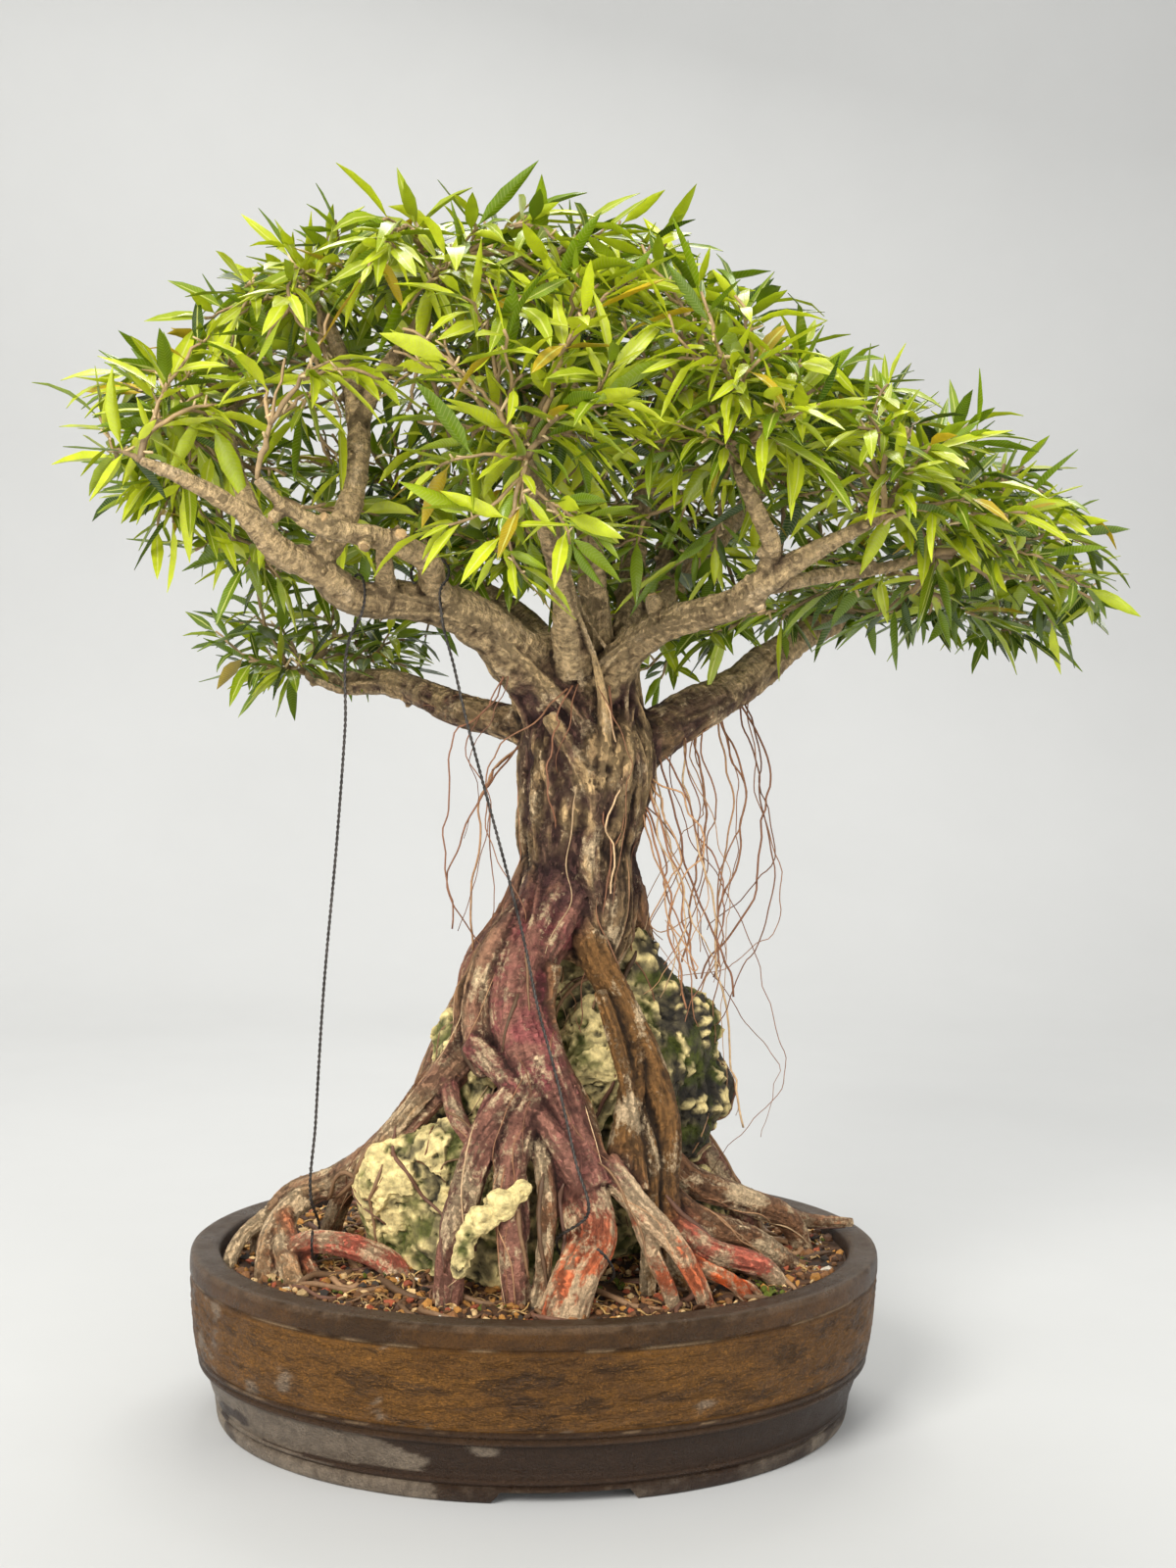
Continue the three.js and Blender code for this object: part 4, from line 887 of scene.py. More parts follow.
def tube_faces(rings, sides):
    """Quads round a tube of rings, and fans of triangles that close its two ends at centre points."""
    ring = np.arange(rings - 1)[:, None] * sides
    a = ring + np.arange(sides)
    b = ring + (np.arange(sides) + 1) % sides
    quads = np.stack([a, b, b + sides, a + sides], axis=-1).reshape(-1, 4)
    turn = np.arange(sides)
    after = (turn + 1) % sides
    last = (rings - 1) * sides
    first_cap = np.stack([np.full(sides, rings * sides), after, turn], axis=-1)
    last_cap = np.stack([np.full(sides, rings * sides + 1), last + turn, last + after], axis=-1)
    return quads, np.concatenate([first_cap, last_cap])


def sideways(across, beside, angles):
    """Directions at these angles round a path, from its two sideways directions."""
    return across * np.cos(angles)[:, None] + beside * np.sin(angles)[:, None]


def add_tube(shape, points, radii, sides, swell=None, **values):
    """A closed tube along the points; swell multiplies the radius at each ring and side."""
    _, across, beside = frames_along(points)
    angles = TURN * np.arange(sides) / sides
    reach = np.broadcast_to(radii[:, None], (len(points), sides))
    if swell is not None:
        reach = reach * swell(angles)
    skin = points[:, None] + reach[..., None] * sideways(across[:, None], beside[:, None], angles)
    quads, caps = tube_faces(len(points), sides)
    everything = np.concatenate([skin.reshape(-1, 3), points[[0, -1]]])
    shape.add(everything, quads, caps, **values)


def oval_ring(inset, height, count):
    """Points round the pot's oval, set in from the rim's outer edge, at one height."""
    angles = TURN * np.arange(count) / count
    x = (POT_HALF_LENGTH - inset) * np.cos(angles)
    y = (POT_HALF_DEPTH - inset) * np.sin(angles)
    return np.stack([x, y, np.full(count, float(height))], axis=-1)


def ripple(x, y, z):
    """The slow swell that the soil and the rock share with the solids."""
    return (np.sin(x * 0.9 + 1.3 * np.sin(y * 0.7)) + np.sin(y * 1.1 + 1.7 * np.sin(z * 0.6))
            + np.sin(z * 1.3 + 1.1 * np.sin(x * 0.8)))


def finer(profile, step):
    """The profile with points added wherever two are further apart than the step."""
    result = [profile[0]]
    for start, finish in zip(profile, profile[1:]):
        parts = max(1, round(math.dist(start, finish) / step))
        for part in range(1, parts + 1):
            share = part / parts
            result.append(tuple(a + (b - a) * share for a, b in zip(start, finish)))
    return result


def stoneware_colours(points, inset):
    """Colours of the pot by height, with a rubbed lip, a broken pale line and lime bloom."""
    x, _, z = points.T
    fine = noise(points, 4, 31, 3)
    broad = noise(points, (60, 60, 24), 32, 3)
    streak = noise(points, (20, 20, 4), 33, 3)
    shade = smooth_step(-0.5, 0.8, 0.5 * streak + 0.4 * fine + 0.7 * broad)
    colours = blend(STONEWARE["body"], STONEWARE["body_dark"], shade)
    blotch = noise(points, (26, 26, 16), 34, 4) + 0.2 * smooth_step(66, 50, z) + 0.1 * smooth_step(0, -150, x)
    colours = blend(colours, STONEWARE["bloom"], 0.55 * smooth_step(0.42, 0.5, blotch) * (z > BODY_FOOT))
    collar = blend(STONEWARE["collar"], STONEWARE["body_dark"], smooth_step(-0.4, 0.6, broad + 0.5 * fine))
    colours = np.where((z > BODY_TOP)[:, None], collar, colours)
    line = smooth_step(1.2, 0.3, np.abs(z - 95.2)) * smooth_step(-0.2, 0.3, noise(points, 16, 35, 2))
    colours = blend(colours, STONEWARE["line"], 0.7 * line)
    ledge = blend(STONEWARE["ledge"], STONEWARE["band"], smooth_step(-0.4, 0.6, broad + 0.5 * fine))
    rubbed = smooth_step(0.9, 0.3, np.abs(z - 45.2)) * smooth_step(0.0, 0.35, noise(points, 12, 36, 2))
    ledge = blend(ledge, STONEWARE["line"], 0.45 * rubbed)
    colours = np.where((z < BODY_FOOT)[:, None], ledge, colours)
    left = smooth_step(-20, -150, x) + 0.3 * smooth_step(110, 190, x)
    water = noise(points, (50, 50, 20), 37, 4) + 0.9 * left - 0.42
    haze = smooth_step(0.0, 0.05, water) * (0.55 + 0.35 * broad + 0.2 * fine)
    band = blend(STONEWARE["band"], STONEWARE["bloom"], np.clip(0.85 * haze, 0, 1))
    colours = np.where((z < 38)[:, None], band, colours)
    foot = blend(band, STONEWARE["bloom"], 0.3 * smooth_step(-0.2, 0.5, broad + 0.4 * fine))
    colours = np.where((z < FOOT_TOP)[:, None], foot, colours)
    top = blend(STONEWARE["rim"], STONEWARE["collar"], smooth_step(-0.3, 0.8, fine + broad))
    colours = np.where((z > 108.6)[:, None], top, colours)
    worn = smooth_step(3.4, 1.2, np.abs(inset - 2.4)) * (z > 106) * smooth_step(-0.5, 0.3, fine + broad)
    colours = blend(colours, STONEWARE["lip"], 0.45 * worn)
    hidden = (inset > RIM_WIDTH - 0.6) & (z > FOOT_TOP)
    colours = np.where(hidden[:, None], STONEWARE["inside"], colours)
    return colours * (1 + 0.12 * fine)[:, None]


def prism(shape, outline, near, far):
    """A closed block with an outline in x and z, between two depths."""
    count = len(outline)
    points = [(x, y, z) for y in (near, far) for x, z in outline]
    sides = [(k, k + count, (k + 1) % count + count, (k + 1) % count) for k in range(count)]
    fans = [(0, k, k + 1) for k in range(1, count - 1)]
    fans += [(count, count + k + 1, count + k) for k in range(1, count - 1)]
    shape.add(points, sides, fans)


def on_panel(height):
    """1 on the pot's body panel and 0 above and below it."""
    return smooth_step(BODY_FOOT, BODY_FOOT + 2, height) * smooth_step(BODY_TOP, BODY_TOP - 2, height)


def build_pot(material):
    """The pot as one closed skin with a torn, grainy panel, then cut for its notches and drain holes."""
    inner, ceiling = POT_UNDERSIDE[0]
    profile = finer(POT_OUTSIDE, POT_STEP) + POT_INSIDE + [(inner, FLOOR_TOP)]
    stations = profile + POT_UNDERSIDE
    points = np.concatenate([oval_ring(inset, height, POT_COLUMNS) for inset, height in stations])
    insets = np.repeat([inset for inset, _ in stations], POT_COLUMNS)
    angles = np.tile(TURN * np.arange(POT_COLUMNS) / POT_COLUMNS, len(stations))
    bent = points + 5 * noise(points, 16, 40, 2)[:, None] * UP
    crust = 0.6 * ridged(bent, (15, 15, 4), 41, 3) + 0.4 * noise(bent, (6, 6, 2.2), 42, 2)
    wobble = 0.3 * noise(points, 55, 43, 2) + 0.1 * noise(points, 6, 44, 2)
    on_wall = on_panel(points[:, 2]) * (insets < 12)
    proud = on_wall * 1.15 * (crust - 0.35) + wobble * (insets < 22)
    outward = np.stack([np.cos(angles), np.sin(angles), np.zeros(len(angles))], axis=-1)
    points = points + np.minimum(proud, insets + 0.3)[:, None] * outward
    wrap = np.arange(POT_COLUMNS)
    after = (wrap + 1) % POT_COLUMNS
    last = (len(stations) - 1) * POT_COLUMNS
    closing = np.stack([last + wrap, last + after, after, wrap], axis=-1)
    quads = np.concatenate([tube_faces(len(stations), POT_COLUMNS)[0], closing])
    ceiling_ring = len(profile) * POT_COLUMNS
    floor_ring = ceiling_ring - POT_COLUMNS
    skip = (quads[:, 0] >= floor_ring) & (quads[:, 0] < ceiling_ring)
    top_centre = np.full(POT_COLUMNS, len(points))
    fan_top = np.stack([top_centre, floor_ring + wrap, floor_ring + after], axis=-1)
    fan_low = np.stack([top_centre + 1, ceiling_ring + after, ceiling_ring + wrap], axis=-1)
    centres = np.array([[0, 0, FLOOR_TOP], [0, 0, ceiling]])
    shape = Shape()
    shape.add(np.concatenate([points, centres]), quads[~skip], np.concatenate([fan_top, fan_low]))
    cutter = Shape()
    notch = [(-NOTCH_FOOT, -3), (NOTCH_FOOT, -3), (NOTCH_TOP, NOTCH_HEIGHT), (-NOTCH_TOP, NOTCH_HEIGHT)]
    prism(cutter, notch, -2 * POT_HALF_DEPTH, 2 * POT_HALF_DEPTH)
    for side in (-1, 1):
        drain = np.array([[side * DRAIN_SPACING, 0, height] for height in (-5, 8, 30)], float)
        add_tube(cutter, drain, np.full(3, float(DRAIN_RADIUS)), 40)
    knife = new_object("knife", mesh_from("knife", cutter))
    mesh = modified(mesh_from("pot", shape),
                    ("BOOLEAN", {"operation": "DIFFERENCE", "solver": "MANIFOLD", "object": knife}))
    bpy.data.objects.remove(knife)
    placed = points_of(mesh)
    reach = np.hypot(placed[:, 0] / POT_HALF_LENGTH, placed[:, 1] / POT_HALF_DEPTH)
    set_values(mesh, "panel", on_panel(placed[:, 2]))
    set_tint(mesh, stoneware_colours(placed, (1 - reach) * POT_HALF_LENGTH))
    add_piece("stoneware_pot", mesh, material, "stoneware", "pot", crease=50)


def soil_height(x, y):
    """Height of the soil at a place, mounding up from the wall towards the rock."""
    out = np.hypot(x / (POT_HALF_LENGTH - RIM_WIDTH), y / (POT_HALF_DEPTH - RIM_WIDTH))
    rise = SOIL_MOUND * np.sin(np.clip(1 - out, 0, 1) * math.pi / 2)
    lumps = 0.8 * ripple(x / 14, y / 14, 3) * smooth_step(1, 0.85, out)
    flat = np.stack([x, y, np.zeros_like(x)], axis=-1)
    return SOIL_EDGE + rise + lumps + 1.1 * noise(flat, 9, 51, 3) * smooth_step(1, 0.93, out)


def build_soil(material):
    """Fine dark soil that fills the pot, with a rough top."""
    rings = [oval_ring(inset + 0.4, max(height, FLOOR_TOP + 0.4), SOIL_COLUMNS)
             for inset, height in reversed(POT_INSIDE[1:])]
    for inset in (20.3, *np.linspace(21.5, 182, SOIL_RINGS)):
        ring = oval_ring(inset, 0, SOIL_COLUMNS)
        ring[:, 2] = soil_height(ring[:, 0], ring[:, 1])
        rings.append(ring)
    quads, caps = tube_faces(len(rings), SOIL_COLUMNS)
    ends = np.array([[0, 0, FLOOR_TOP + 0.4], [0, 0, SOIL_EDGE + SOIL_MOUND]])
    points = np.concatenate([*rings, ends])
    tone = smooth_step(-0.4, 0.5, noise(points, 7, 52, 3))
    shape = Shape()
    shape.add(points, quads, caps, tint=blend(SOIL_DARK, GRIT[0][0], 0.5 * tone))
    add_piece("soil_bed", shape, material, "soil", "soil")


ICO_POINTS = unit(np.array([
    (a * 1.618, b, 0) if axis == 0 else (0, a * 1.618, b) if axis == 1 else (b, 0, a * 1.618)
    for axis in range(3) for a in (-1, 1) for b in (-1, 1)], float))


def ico_faces():
    """Triangles between the icosahedron's points that lie nearest to each other, facing out."""
    near = np.linalg.norm(ICO_POINTS[:, None] - ICO_POINTS[None], axis=-1) < 1.2
    faces = []
    for i, j, k in itertools.combinations(range(12), 3):
        if near[i, j] and near[j, k] and near[i, k]:
            normal = np.cross(ICO_POINTS[j] - ICO_POINTS[i], ICO_POINTS[k] - ICO_POINTS[i])
            outwards = normal @ (ICO_POINTS[i] + ICO_POINTS[j] + ICO_POINTS[k]) > 0
            faces.append((i, j, k) if outwards else (i, k, j))
    return np.array(faces)


def add_crumbs(shape, centres, sizes, colours, random, flatten=0.75):
    """Rough angular crumbs, each with its own shape, turn and colour."""
    count = len(centres)
    faces = ico_faces()
    skins = ICO_POINTS * random.uniform(0.72, 1.25, (count, 12, 1))
    skins = skins * random.uniform(0.7, 1.3, (count, 1, 3))
    turns = random.uniform(0, TURN, (count, 1))
    cos, sin = np.cos(turns), np.sin(turns)
    x, y, z = np.moveaxis(skins, -1, 0)
    tilt = random.uniform(-0.7, 0.7, (count, 1))
    turned = np.stack([x * cos - y * sin, x * sin + y * cos, flatten * z + tilt * x], axis=-1)
    points = centres[:, None] + sizes[:, None, None] * turned
    indices = faces[None] + 12 * np.arange(count)[:, None, None]
    shape.add(points.reshape(-1, 3), (), indices.reshape(-1, 3), tint=np.repeat(colours, 12, axis=0))


def spread_on_soil(count, random, edge=0.985):
    """Even random places on the soil, inside the pot's wall."""
    reach = edge * np.sqrt(random.uniform(0, 1, count))
    angle = random.uniform(0, TURN, count)
    x = reach * (POT_HALF_LENGTH - RIM_WIDTH - 2.5) * np.cos(angle)
    y = reach * (POT_HALF_DEPTH - RIM_WIDTH - 2.5) * np.sin(angle)
    return np.stack([x, y, soil_height(x, y)], axis=-1)


def build_grit(material):
    """Lava, pumice, bark and perlite crumbs that cover the soil, with moss here and there."""
    random = np.random.default_rng(SEED + 1)
    centres = spread_on_soil(GRIT_COUNT, random)
    centres = centres[np.hypot((centres[:, 0] - 24) / 78, (centres[:, 1] - 4) / 54) > 1]
    count = len(centres)
    sizes = random.uniform(*GRIT_SIZE, count) * random.uniform(0.7, 1.2, count)
    shares = np.array([share for _, share in GRIT])
    picks = random.choice(len(GRIT), count, p=shares / shares.sum())
    colours = np.array([colour for colour, _ in GRIT])[picks] * random.uniform(0.65, 1.4, (count, 1))
    flat = centres * (1, 1, 0)
    mossy = noise(flat, 34, 53, 2) + random.normal(0, 0.12, count) > 0.42
    colours[mossy] = MOSS * random.uniform(0.6, 1.9, (mossy.sum(), 1))
    sizes[mossy] *= 0.75
    centres[:, 2] += 0.35 * sizes + 1.2 * mossy
    shape = Shape()
    add_crumbs(shape, centres, sizes, colours, random)
    add_piece("soil_grit", shape, material, "soil", crease=25)


def lying_strand(shape, start, heading, length, radius, colour, random):
    """A bent strand that lies on the soil and runs from a place in one direction, unless it meets the wall."""
    bend = random.uniform(-0.5, 0.5)
    route = []
    x, y = start[:2]
    for step in range(7):
        lift = 1.2 + 0.6 * radius + 1.5 * math.sin(step * 1.3 + heading)
        route.append((x, y, float(soil_height(np.array([x]), np.array([y]))[0]) + lift))
        turn = heading + bend * step + random.normal(0, 0.25)
        x += length / 6 * math.cos(turn)
        y += length / 6 * math.sin(turn)
    reach = max(math.hypot(p[0] / (POT_HALF_LENGTH - 24), p[1] / (POT_HALF_DEPTH - 24)) for p in route)
    if reach < 1:
        points, along = spline(route, length / 9)
        taper = np.minimum(1, 0.3 + 0.05 * (along[-1] - along))
        radii = radius * taper * random.uniform(0.85, 1.15, len(points))
        add_tube(shape, points, radii, 4 if radius < 1 else 6, tint=colour)


def pick(colours, random, low, high):
    """One of the colours, darker or lighter by a random share."""
    return colours[random.integers(len(colours))] * random.uniform(low, high)


def build_litter(material):
    """Dry fibres and bits of straw over the grit, and small roots that run out from the rock."""
    random = np.random.default_rng(SEED + 2)
    shape = Shape()
    for start in spread_on_soil(FIBRES, random, 0.96):
        colour = blend(*STRAW, random.uniform(0, 1))
        lying_strand(shape, start, random.uniform(0, TURN), random.uniform(8, 34), random.uniform(0.35, 0.9),
                     colour, random)
    for start in spread_on_soil(ROOTLETS, random, 0.9):
        if math.hypot(start[0] / 70, (start[1] + 20) / 70) > 1:
            heading = math.atan2(start[1] + 20, start[0]) + random.normal(0, 0.6)
            colour = pick(ROOTLET_COLOURS, random, 0.7, 1.3)
            lying_strand(shape, start, heading, random.uniform(26, 80), random.uniform(0.9, 2.4),
                         colour, random)
    add_piece("soil_fibres", shape, material, "soil")


def sphere_shape(shape, centre, reach, knobs, rows=64, columns=96):
    """A closed ball from pole to pole, its radius changed by a function of the direction."""
    lift = math.pi * np.arange(1, rows) / rows
    turn = TURN * np.arange(columns) / columns
    lift, turn = np.meshgrid(lift, turn, indexing="ij")
    ways = np.stack([np.sin(lift) * np.cos(turn), np.sin(lift) * np.sin(turn), -np.cos(lift)], axis=-1)
    ways = np.concatenate([ways.reshape(-1, 3), [[0, 0, -1], [0, 0, 1]]])
    quads, caps = tube_faces(rows - 1, columns)
    points = centre + ways * reach * knobs(ways)[:, None]
    points[:, 2] = np.maximum(points[:, 2], ROCK_UNDERSIDE)
    shape.add(points, quads, caps)


def rock_colours(points, height, pale):
    """Cream knobs on a grey-green ground with moss, darker on the right and behind, and with painted shade in
    the hollows.
    """
    x, y, z = points.T
    broad = noise(points, 32, 61, 3)
    fine = noise(points, 5, 62, 3)
    right = smooth_step(58, 92, x + 0.2 * y) * smooth_step(345, 300, z)
    shade = np.minimum(right + 0.5 * smooth_step(-10, 60, y), 1)
    shadow = 0.7 * shade - 0.6 * broad - 0.5 * fine - 0.2
    ground = blend(ROCK_GREY, ROCK_DARK, smooth_step(-0.3, 0.5, shadow))
    share = 1.3 * pale + 0.4 * fine + 0.7 * broad + 0.14 * height - 0.55 * shade - 0.2
    colours = blend(ground, ROCK_CREAM, 0.95 * smooth_step(0.1, 0.75, share))
    # Painted shade: where the surface sinks into hollows and pits, it is darkened almost to black.
    dark = smooth_step(-0.2, -1.6, height + 0.6 * fine - 0.8 * shade)
    colours = blend(colours, ROCK_HOLLOW_SHADE, 0.92 * dark)
    mossy = smooth_step(-0.02, 0.22, noise(points, 20, 63, 3) - 0.12 * shade - 0.06 * height)
    colours = blend(colours, MOSS, 0.8 * mossy * smooth_step(2.4, 0.6, height))
    return colours * (1 + 0.3 * fine)[:, None]


def build_rock(material):
    """Porous limestone boulder: lumps joined in one skin, with scattered knobs, creases and pits."""
    shape = Shape()
    for k, (x, y, z, *reach) in enumerate(ROCK_LUMPS):
        def knobs(ways, k=k):
            return 1 + 0.085 * ripple(4 * ways[:, 0] + 2 * k, 4 * ways[:, 1] - k, 4 * ways[:, 2] + 3 * k)
        sphere_shape(shape, np.array([x, y, z]), np.array(reach), knobs)
    mesh = modified(mesh_from("rock", shape), ("REMESH", {"mode": "VOXEL", "voxel_size": ROCK_VOXEL * MM}))
    points = points_of(mesh)
    warped = points + 8 * np.stack([noise(points, 19, 66 + axis, 3) for axis in range(3)], axis=-1)
    broad = noise(points, 30, 68, 2)
    rough = noise(points, 9, 74, 4)
    _, seam, facet = cells(warped, 22, 70)
    large, _, own = cells(warped, 11, 90)
    dark_side = smooth_step(52, 88, points[:, 0] + 0.2 * points[:, 1])
    knob = smooth_step(0.36, 0.6, own + 0.25 * broad) * smooth_step(0.66, 0.22, large)
    knob = knob * (0.25 + 0.75 * dark_side)
    crease = smooth_step(0.12, 0.0, seam) * smooth_step(-0.1, 0.3, noise(points, 15, 94, 2))
    pits = smooth_step(0.2, 0.6, noise(points, 4.8, 67, 3))
    depth = 2.2 * broad + 3.4 * (facet - 0.5) + 3.8 * knob + 3.6 * rough - 1.2 * crease - 2.4 * pits - 0.6
    above = smooth_step(ROCK_UNDERSIDE, ROCK_UNDERSIDE + 8, points[:, 2])
    slim = np.where(points[:, 1] < PALE_KNOBS_FRONT, 0.9, 1.0)
    pale = 1.2 * knob + (1 - dark_side) * (0.22 + 0.3 * facet + 0.5 * rough) - 0.4 * pits - 0.25 * crease
    set_values(mesh, "pale", pale)
    move_points(mesh, points + normals_of(mesh) * (depth * above * slim)[:, None])
    faces = 2 * len(mesh.polygons)
    mesh = modified(mesh, ("DECIMATE", {"ratio": min(1, ROCK_TRIANGLES / faces)}))
    points = points_of(mesh)
    pale = values_of(mesh, "pale") + 0.15 * (points[:, 1] < PALE_KNOBS_FRONT)
    # Painted light: the rock that shows in the window between the front roots is made paler, against the shade
    # that the roots cast there.
    lit_window_reach = np.linalg.norm((points - (28, -50, 232)) / (30, 30, 40), axis=1)
    pale = pale + 0.4 * smooth_step(1, 0.5, lit_window_reach)
    set_tint(mesh, rock_colours(points, height_over(mesh, 14), pale))
    return add_piece("limestone_boulder", mesh, material, "rock", "limestone_rock")


def sunk_start(route):
    """A root's route with its top end led up into the trunk."""
    x, y, z, radius = route[0]
    if z < 340:
        return route
    return [((x + TRUNK[2][0]) / 2, y / 2, z + 42, 0.75 * radius), *route]


def wood_routes():
    """Every trunk, limb, stub and root as (bark, route)."""
    yield "trunk", TRUNK
    for route in LIMBS.values():
        yield "limb", route
    for route in STUBS:
        yield "limb", route
    yield "ridge", KNOT_RIDGE
    for bark, route in ROOTS + FILLING_ROOTS:
        yield bark, sunk_start(route)


def bark_ropes(random):
    """Ropes of bark as (bark, route): up the trunk and into the limbs, and down along the roots."""
    axes = [("ridge", TRUNK[:7], ROPES_ON_TRUNK)]
    for name, route in LIMBS.items():
        if route[0][2] < 500:
            join = [point for point in TRUNK if 350 < point[2] < min(route[0][2] - 20, 440)]
            axes.append(("ridge", join + route[1:6], ROPES_INTO_LIMB if route[0][3] > 15 else 3))
    for bark, route in ROOTS + FILLING_ROOTS:
        above = [point for point in reversed(TRUNK) if 345 < point[2] < 410] if route[0][2] >= 340 else []
        kind = "ridge" if bark == "purple" and route[0][3] > 15 else bark
        wide = 3 if bark == "crimson" else ROPES_ON_ROOT
        axes.append((kind, above + list(route), wide if route[0][3] > 15 else 3))
    for route in LIMBS.values():
        core, along = spline(route, 14)
        for x, y, z, radius in core[1:-1]:
            way = unit(random.normal(0, 1, 3) * (1, 1, 0.8))
            centre = np.array([x, y, z])
            knob = random.uniform(1.8, 3.4)
            yield "limb", [(*(centre + 0.5 * radius * way), knob),
                           (*(centre + (radius + random.uniform(0, 5)) * way), 0.8 * knob)]
    for bark, axis, count in axes:
        core, along = spline(axis, 6)
        _, across, beside = frames_along(core[:, :3])
        for k in range(count):
            wander = TURN * (k + random.uniform(-0.3, 0.3)) / count + 0.006 * random.uniform(-1, 1) * along
            wander = wander + 0.22 * np.sin(along / random.uniform(22, 50) + random.uniform(0, TURN))
            shut = smooth_step(0, 14, along) * smooth_step(along[-1], along[-1] - 14, along)
            width = np.clip(0.095 * core[:, 3], 1.3, 3.6) * random.uniform(0.7, 1.3)
            reach = core[:, 3] * (0.7 + 0.3 * shut) - 0.25 * width
            points = core[:, :3] + reach[:, None] * sideways(across, beside, wander)
            yield bark, np.column_stack([points, width])


def round_places(radii, angles, along):
    """Places on a straight rod, by ring and side."""
    return np.stack(np.broadcast_arrays(
        radii[:, None] * np.cos(angles), radii[:, None] * np.sin(angles), along[:, None]), axis=-1)


def bark_swell(bark, along, radii, seed):
    """How far the bark stands out from the round at each ring and side, before the parts are joined."""
    def swell(angles):
        spot = round_places(radii, angles, along)
        flat = spot.reshape(-1, 3)
        if bark in ("trunk", "ridge"):
            t = along[:, None] / along[-1]
            flutes = 0.05 * np.cos(5 * angles + 4 * t) + 0.04 * np.cos(8 * angles - 3 * t)
            strands = 0.06 * (ridged(flat, (15, 15, 60), seed, 2) - 0.4).reshape(spot.shape[:2])
            return 1 + flutes + strands
        if bark == "limb":
            lumps = 0.16 * noise(flat, (16, 16, 20), seed, 2) + 0.08 * noise(flat, (9, 9, 7), seed + 5)
        else:
            folds = ridged(flat, (10, 10, 75), seed, 2) - 0.45
            lumps = 0.13 * folds + 0.12 * noise(flat, (15, 15, 42), seed + 5, 2)
        return 1 + lumps.reshape(spot.shape[:2])
    return swell


def build_wood(material):
    """Roots, trunk and limbs in one skin, with the bark's ropes, ridges, rings and scales."""
    random = np.random.default_rng(SEED + 5)
    shape = Shape()
    barks = list(BARKS)
    for seed, (bark, route) in enumerate([*wood_routes(), *bark_ropes(random)]):
        dense, along = spline(route, 2.2)
        radii = np.maximum(dense[:, 3], 1.5)
        sides = max(8, round(TURN * radii.max() / 2.4))
        around = round_places(radii, TURN * np.arange(sides) / sides, along).reshape(-1, 3)
        local = np.concatenate([around, [[0, 0, 0], [0, 0, along[-1]]]]) + 60 * (seed % 20)
        girth = np.concatenate([np.repeat(radii, sides), radii[[0, -1]]])
        add_tube(shape, dense[:, :3], radii, sides, bark_swell(bark, along, radii, seed),
                 local=local, bark=barks.index(bark), radius=girth)
    points, _, _, values = shape.gathered()
    tree = KDTree(len(points))
    for i, point in enumerate(points):
        tree.insert(point, i)
    tree.balance()
    mesh = modified(mesh_from("wood", shape), ("REMESH", {"mode": "VOXEL", "voxel_size": WOOD_VOXEL * MM}),
                    ("SMOOTH", {"factor": 0.5, "iterations": 4}))
    skin = points_of(mesh)
    nearest = np.array([tree.find(point)[1] for point in skin])
    relief = bark_relief(skin, values["local"][nearest], values["bark"][nearest], barks)
    cover = bark_weights(mesh, skin, values["bark"][nearest], barks)[:, 2]
    relief = relief + cover * (0.5 + 0.9 * noise(skin, 3, 82, 2))
    slim = smooth_step(2, 9, values["radius"][nearest])
    move_points(mesh, skin + normals_of(mesh) * (relief * (0.35 + 0.65 * slim))[:, None])
    mesh = modified(mesh, ("DECIMATE", {"ratio": min(1, WOOD_TRIANGLES / 2 / len(mesh.polygons))}))
    skin = points_of(mesh)
    nearest = np.array([tree.find(point)[1] for point in skin])
    local, kinds = values["local"][nearest], values["bark"][nearest]
    set_flow(mesh, local)
    set_tint(mesh, bark_weights(mesh, skin, kinds, barks), "weights")
    set_tint(mesh, bark_colours(mesh, skin, local, kinds, barks))
    return add_piece("tree_roots_trunk_and_limbs", mesh, material, "bark", "tree_wood")


def bark_relief(skin, local, kinds, barks):
    """How far the bark's fine ridges stand out, in mm."""
    strands = 1.5 * (ridged(local, (5.5, 5.5, 26), 71, 2) - 0.4) + 0.7 * noise(skin, 4, 72, 2)
    rings = 0.8 * noise(local, (10, 10, 3.6), 73, 2) + 0.9 * (ridged(skin, 8, 74, 3) - 0.4)
    scales = 1.2 * (ridged(local, (5.5, 5.5, 36), 75, 2) - 0.4) + 0.5 * noise(skin, 3.6, 76, 2)
    upright = (kinds == barks.index("trunk")) | (kinds == barks.index("ridge"))
    relief = np.where(upright, strands, scales)
    return np.where(kinds == barks.index("limb"), rings, relief)


def in_waist(height):
    """1 on the bare trunk between the roots and the limbs, and 0 above and below it."""
    return smooth_step(330, 364, height) * smooth_step(470, 450, height)


def bark_weights(mesh, skin, kinds, barks):
    """How strongly the bark's strands, its rings and its pale flakes show at each vertex."""
    table = np.array([BARK_WEIGHTS[bark] for bark in barks])
    height = skin[:, 2]
    weights = spread_over(mesh, table[kinds.astype(int)], 10)
    weights = blend(weights, BARK_WEIGHTS["trunk"], in_waist(height))
    weights = blend(weights, BARK_WEIGHTS["limb"], smooth_step(480, 530, height))
    patchy = 0.6 * noise(skin, 15, 81, 3) + 0.06 * smooth_step(250, 140, height) - 0.08
    crests = 0.12 * height_over(mesh, 6)
    on_roots = np.clip(weights[:, 2] + patchy + crests, 0, 0.95)
    on_bark = np.clip(0.15 - 0.03 * smooth_step(450, 520, height) + 0.8 * patchy + crests, 0, 0.6)
    weights[:, 2] = on_roots + (on_bark - on_roots) * smooth_step(300, 345, height)
    return weights


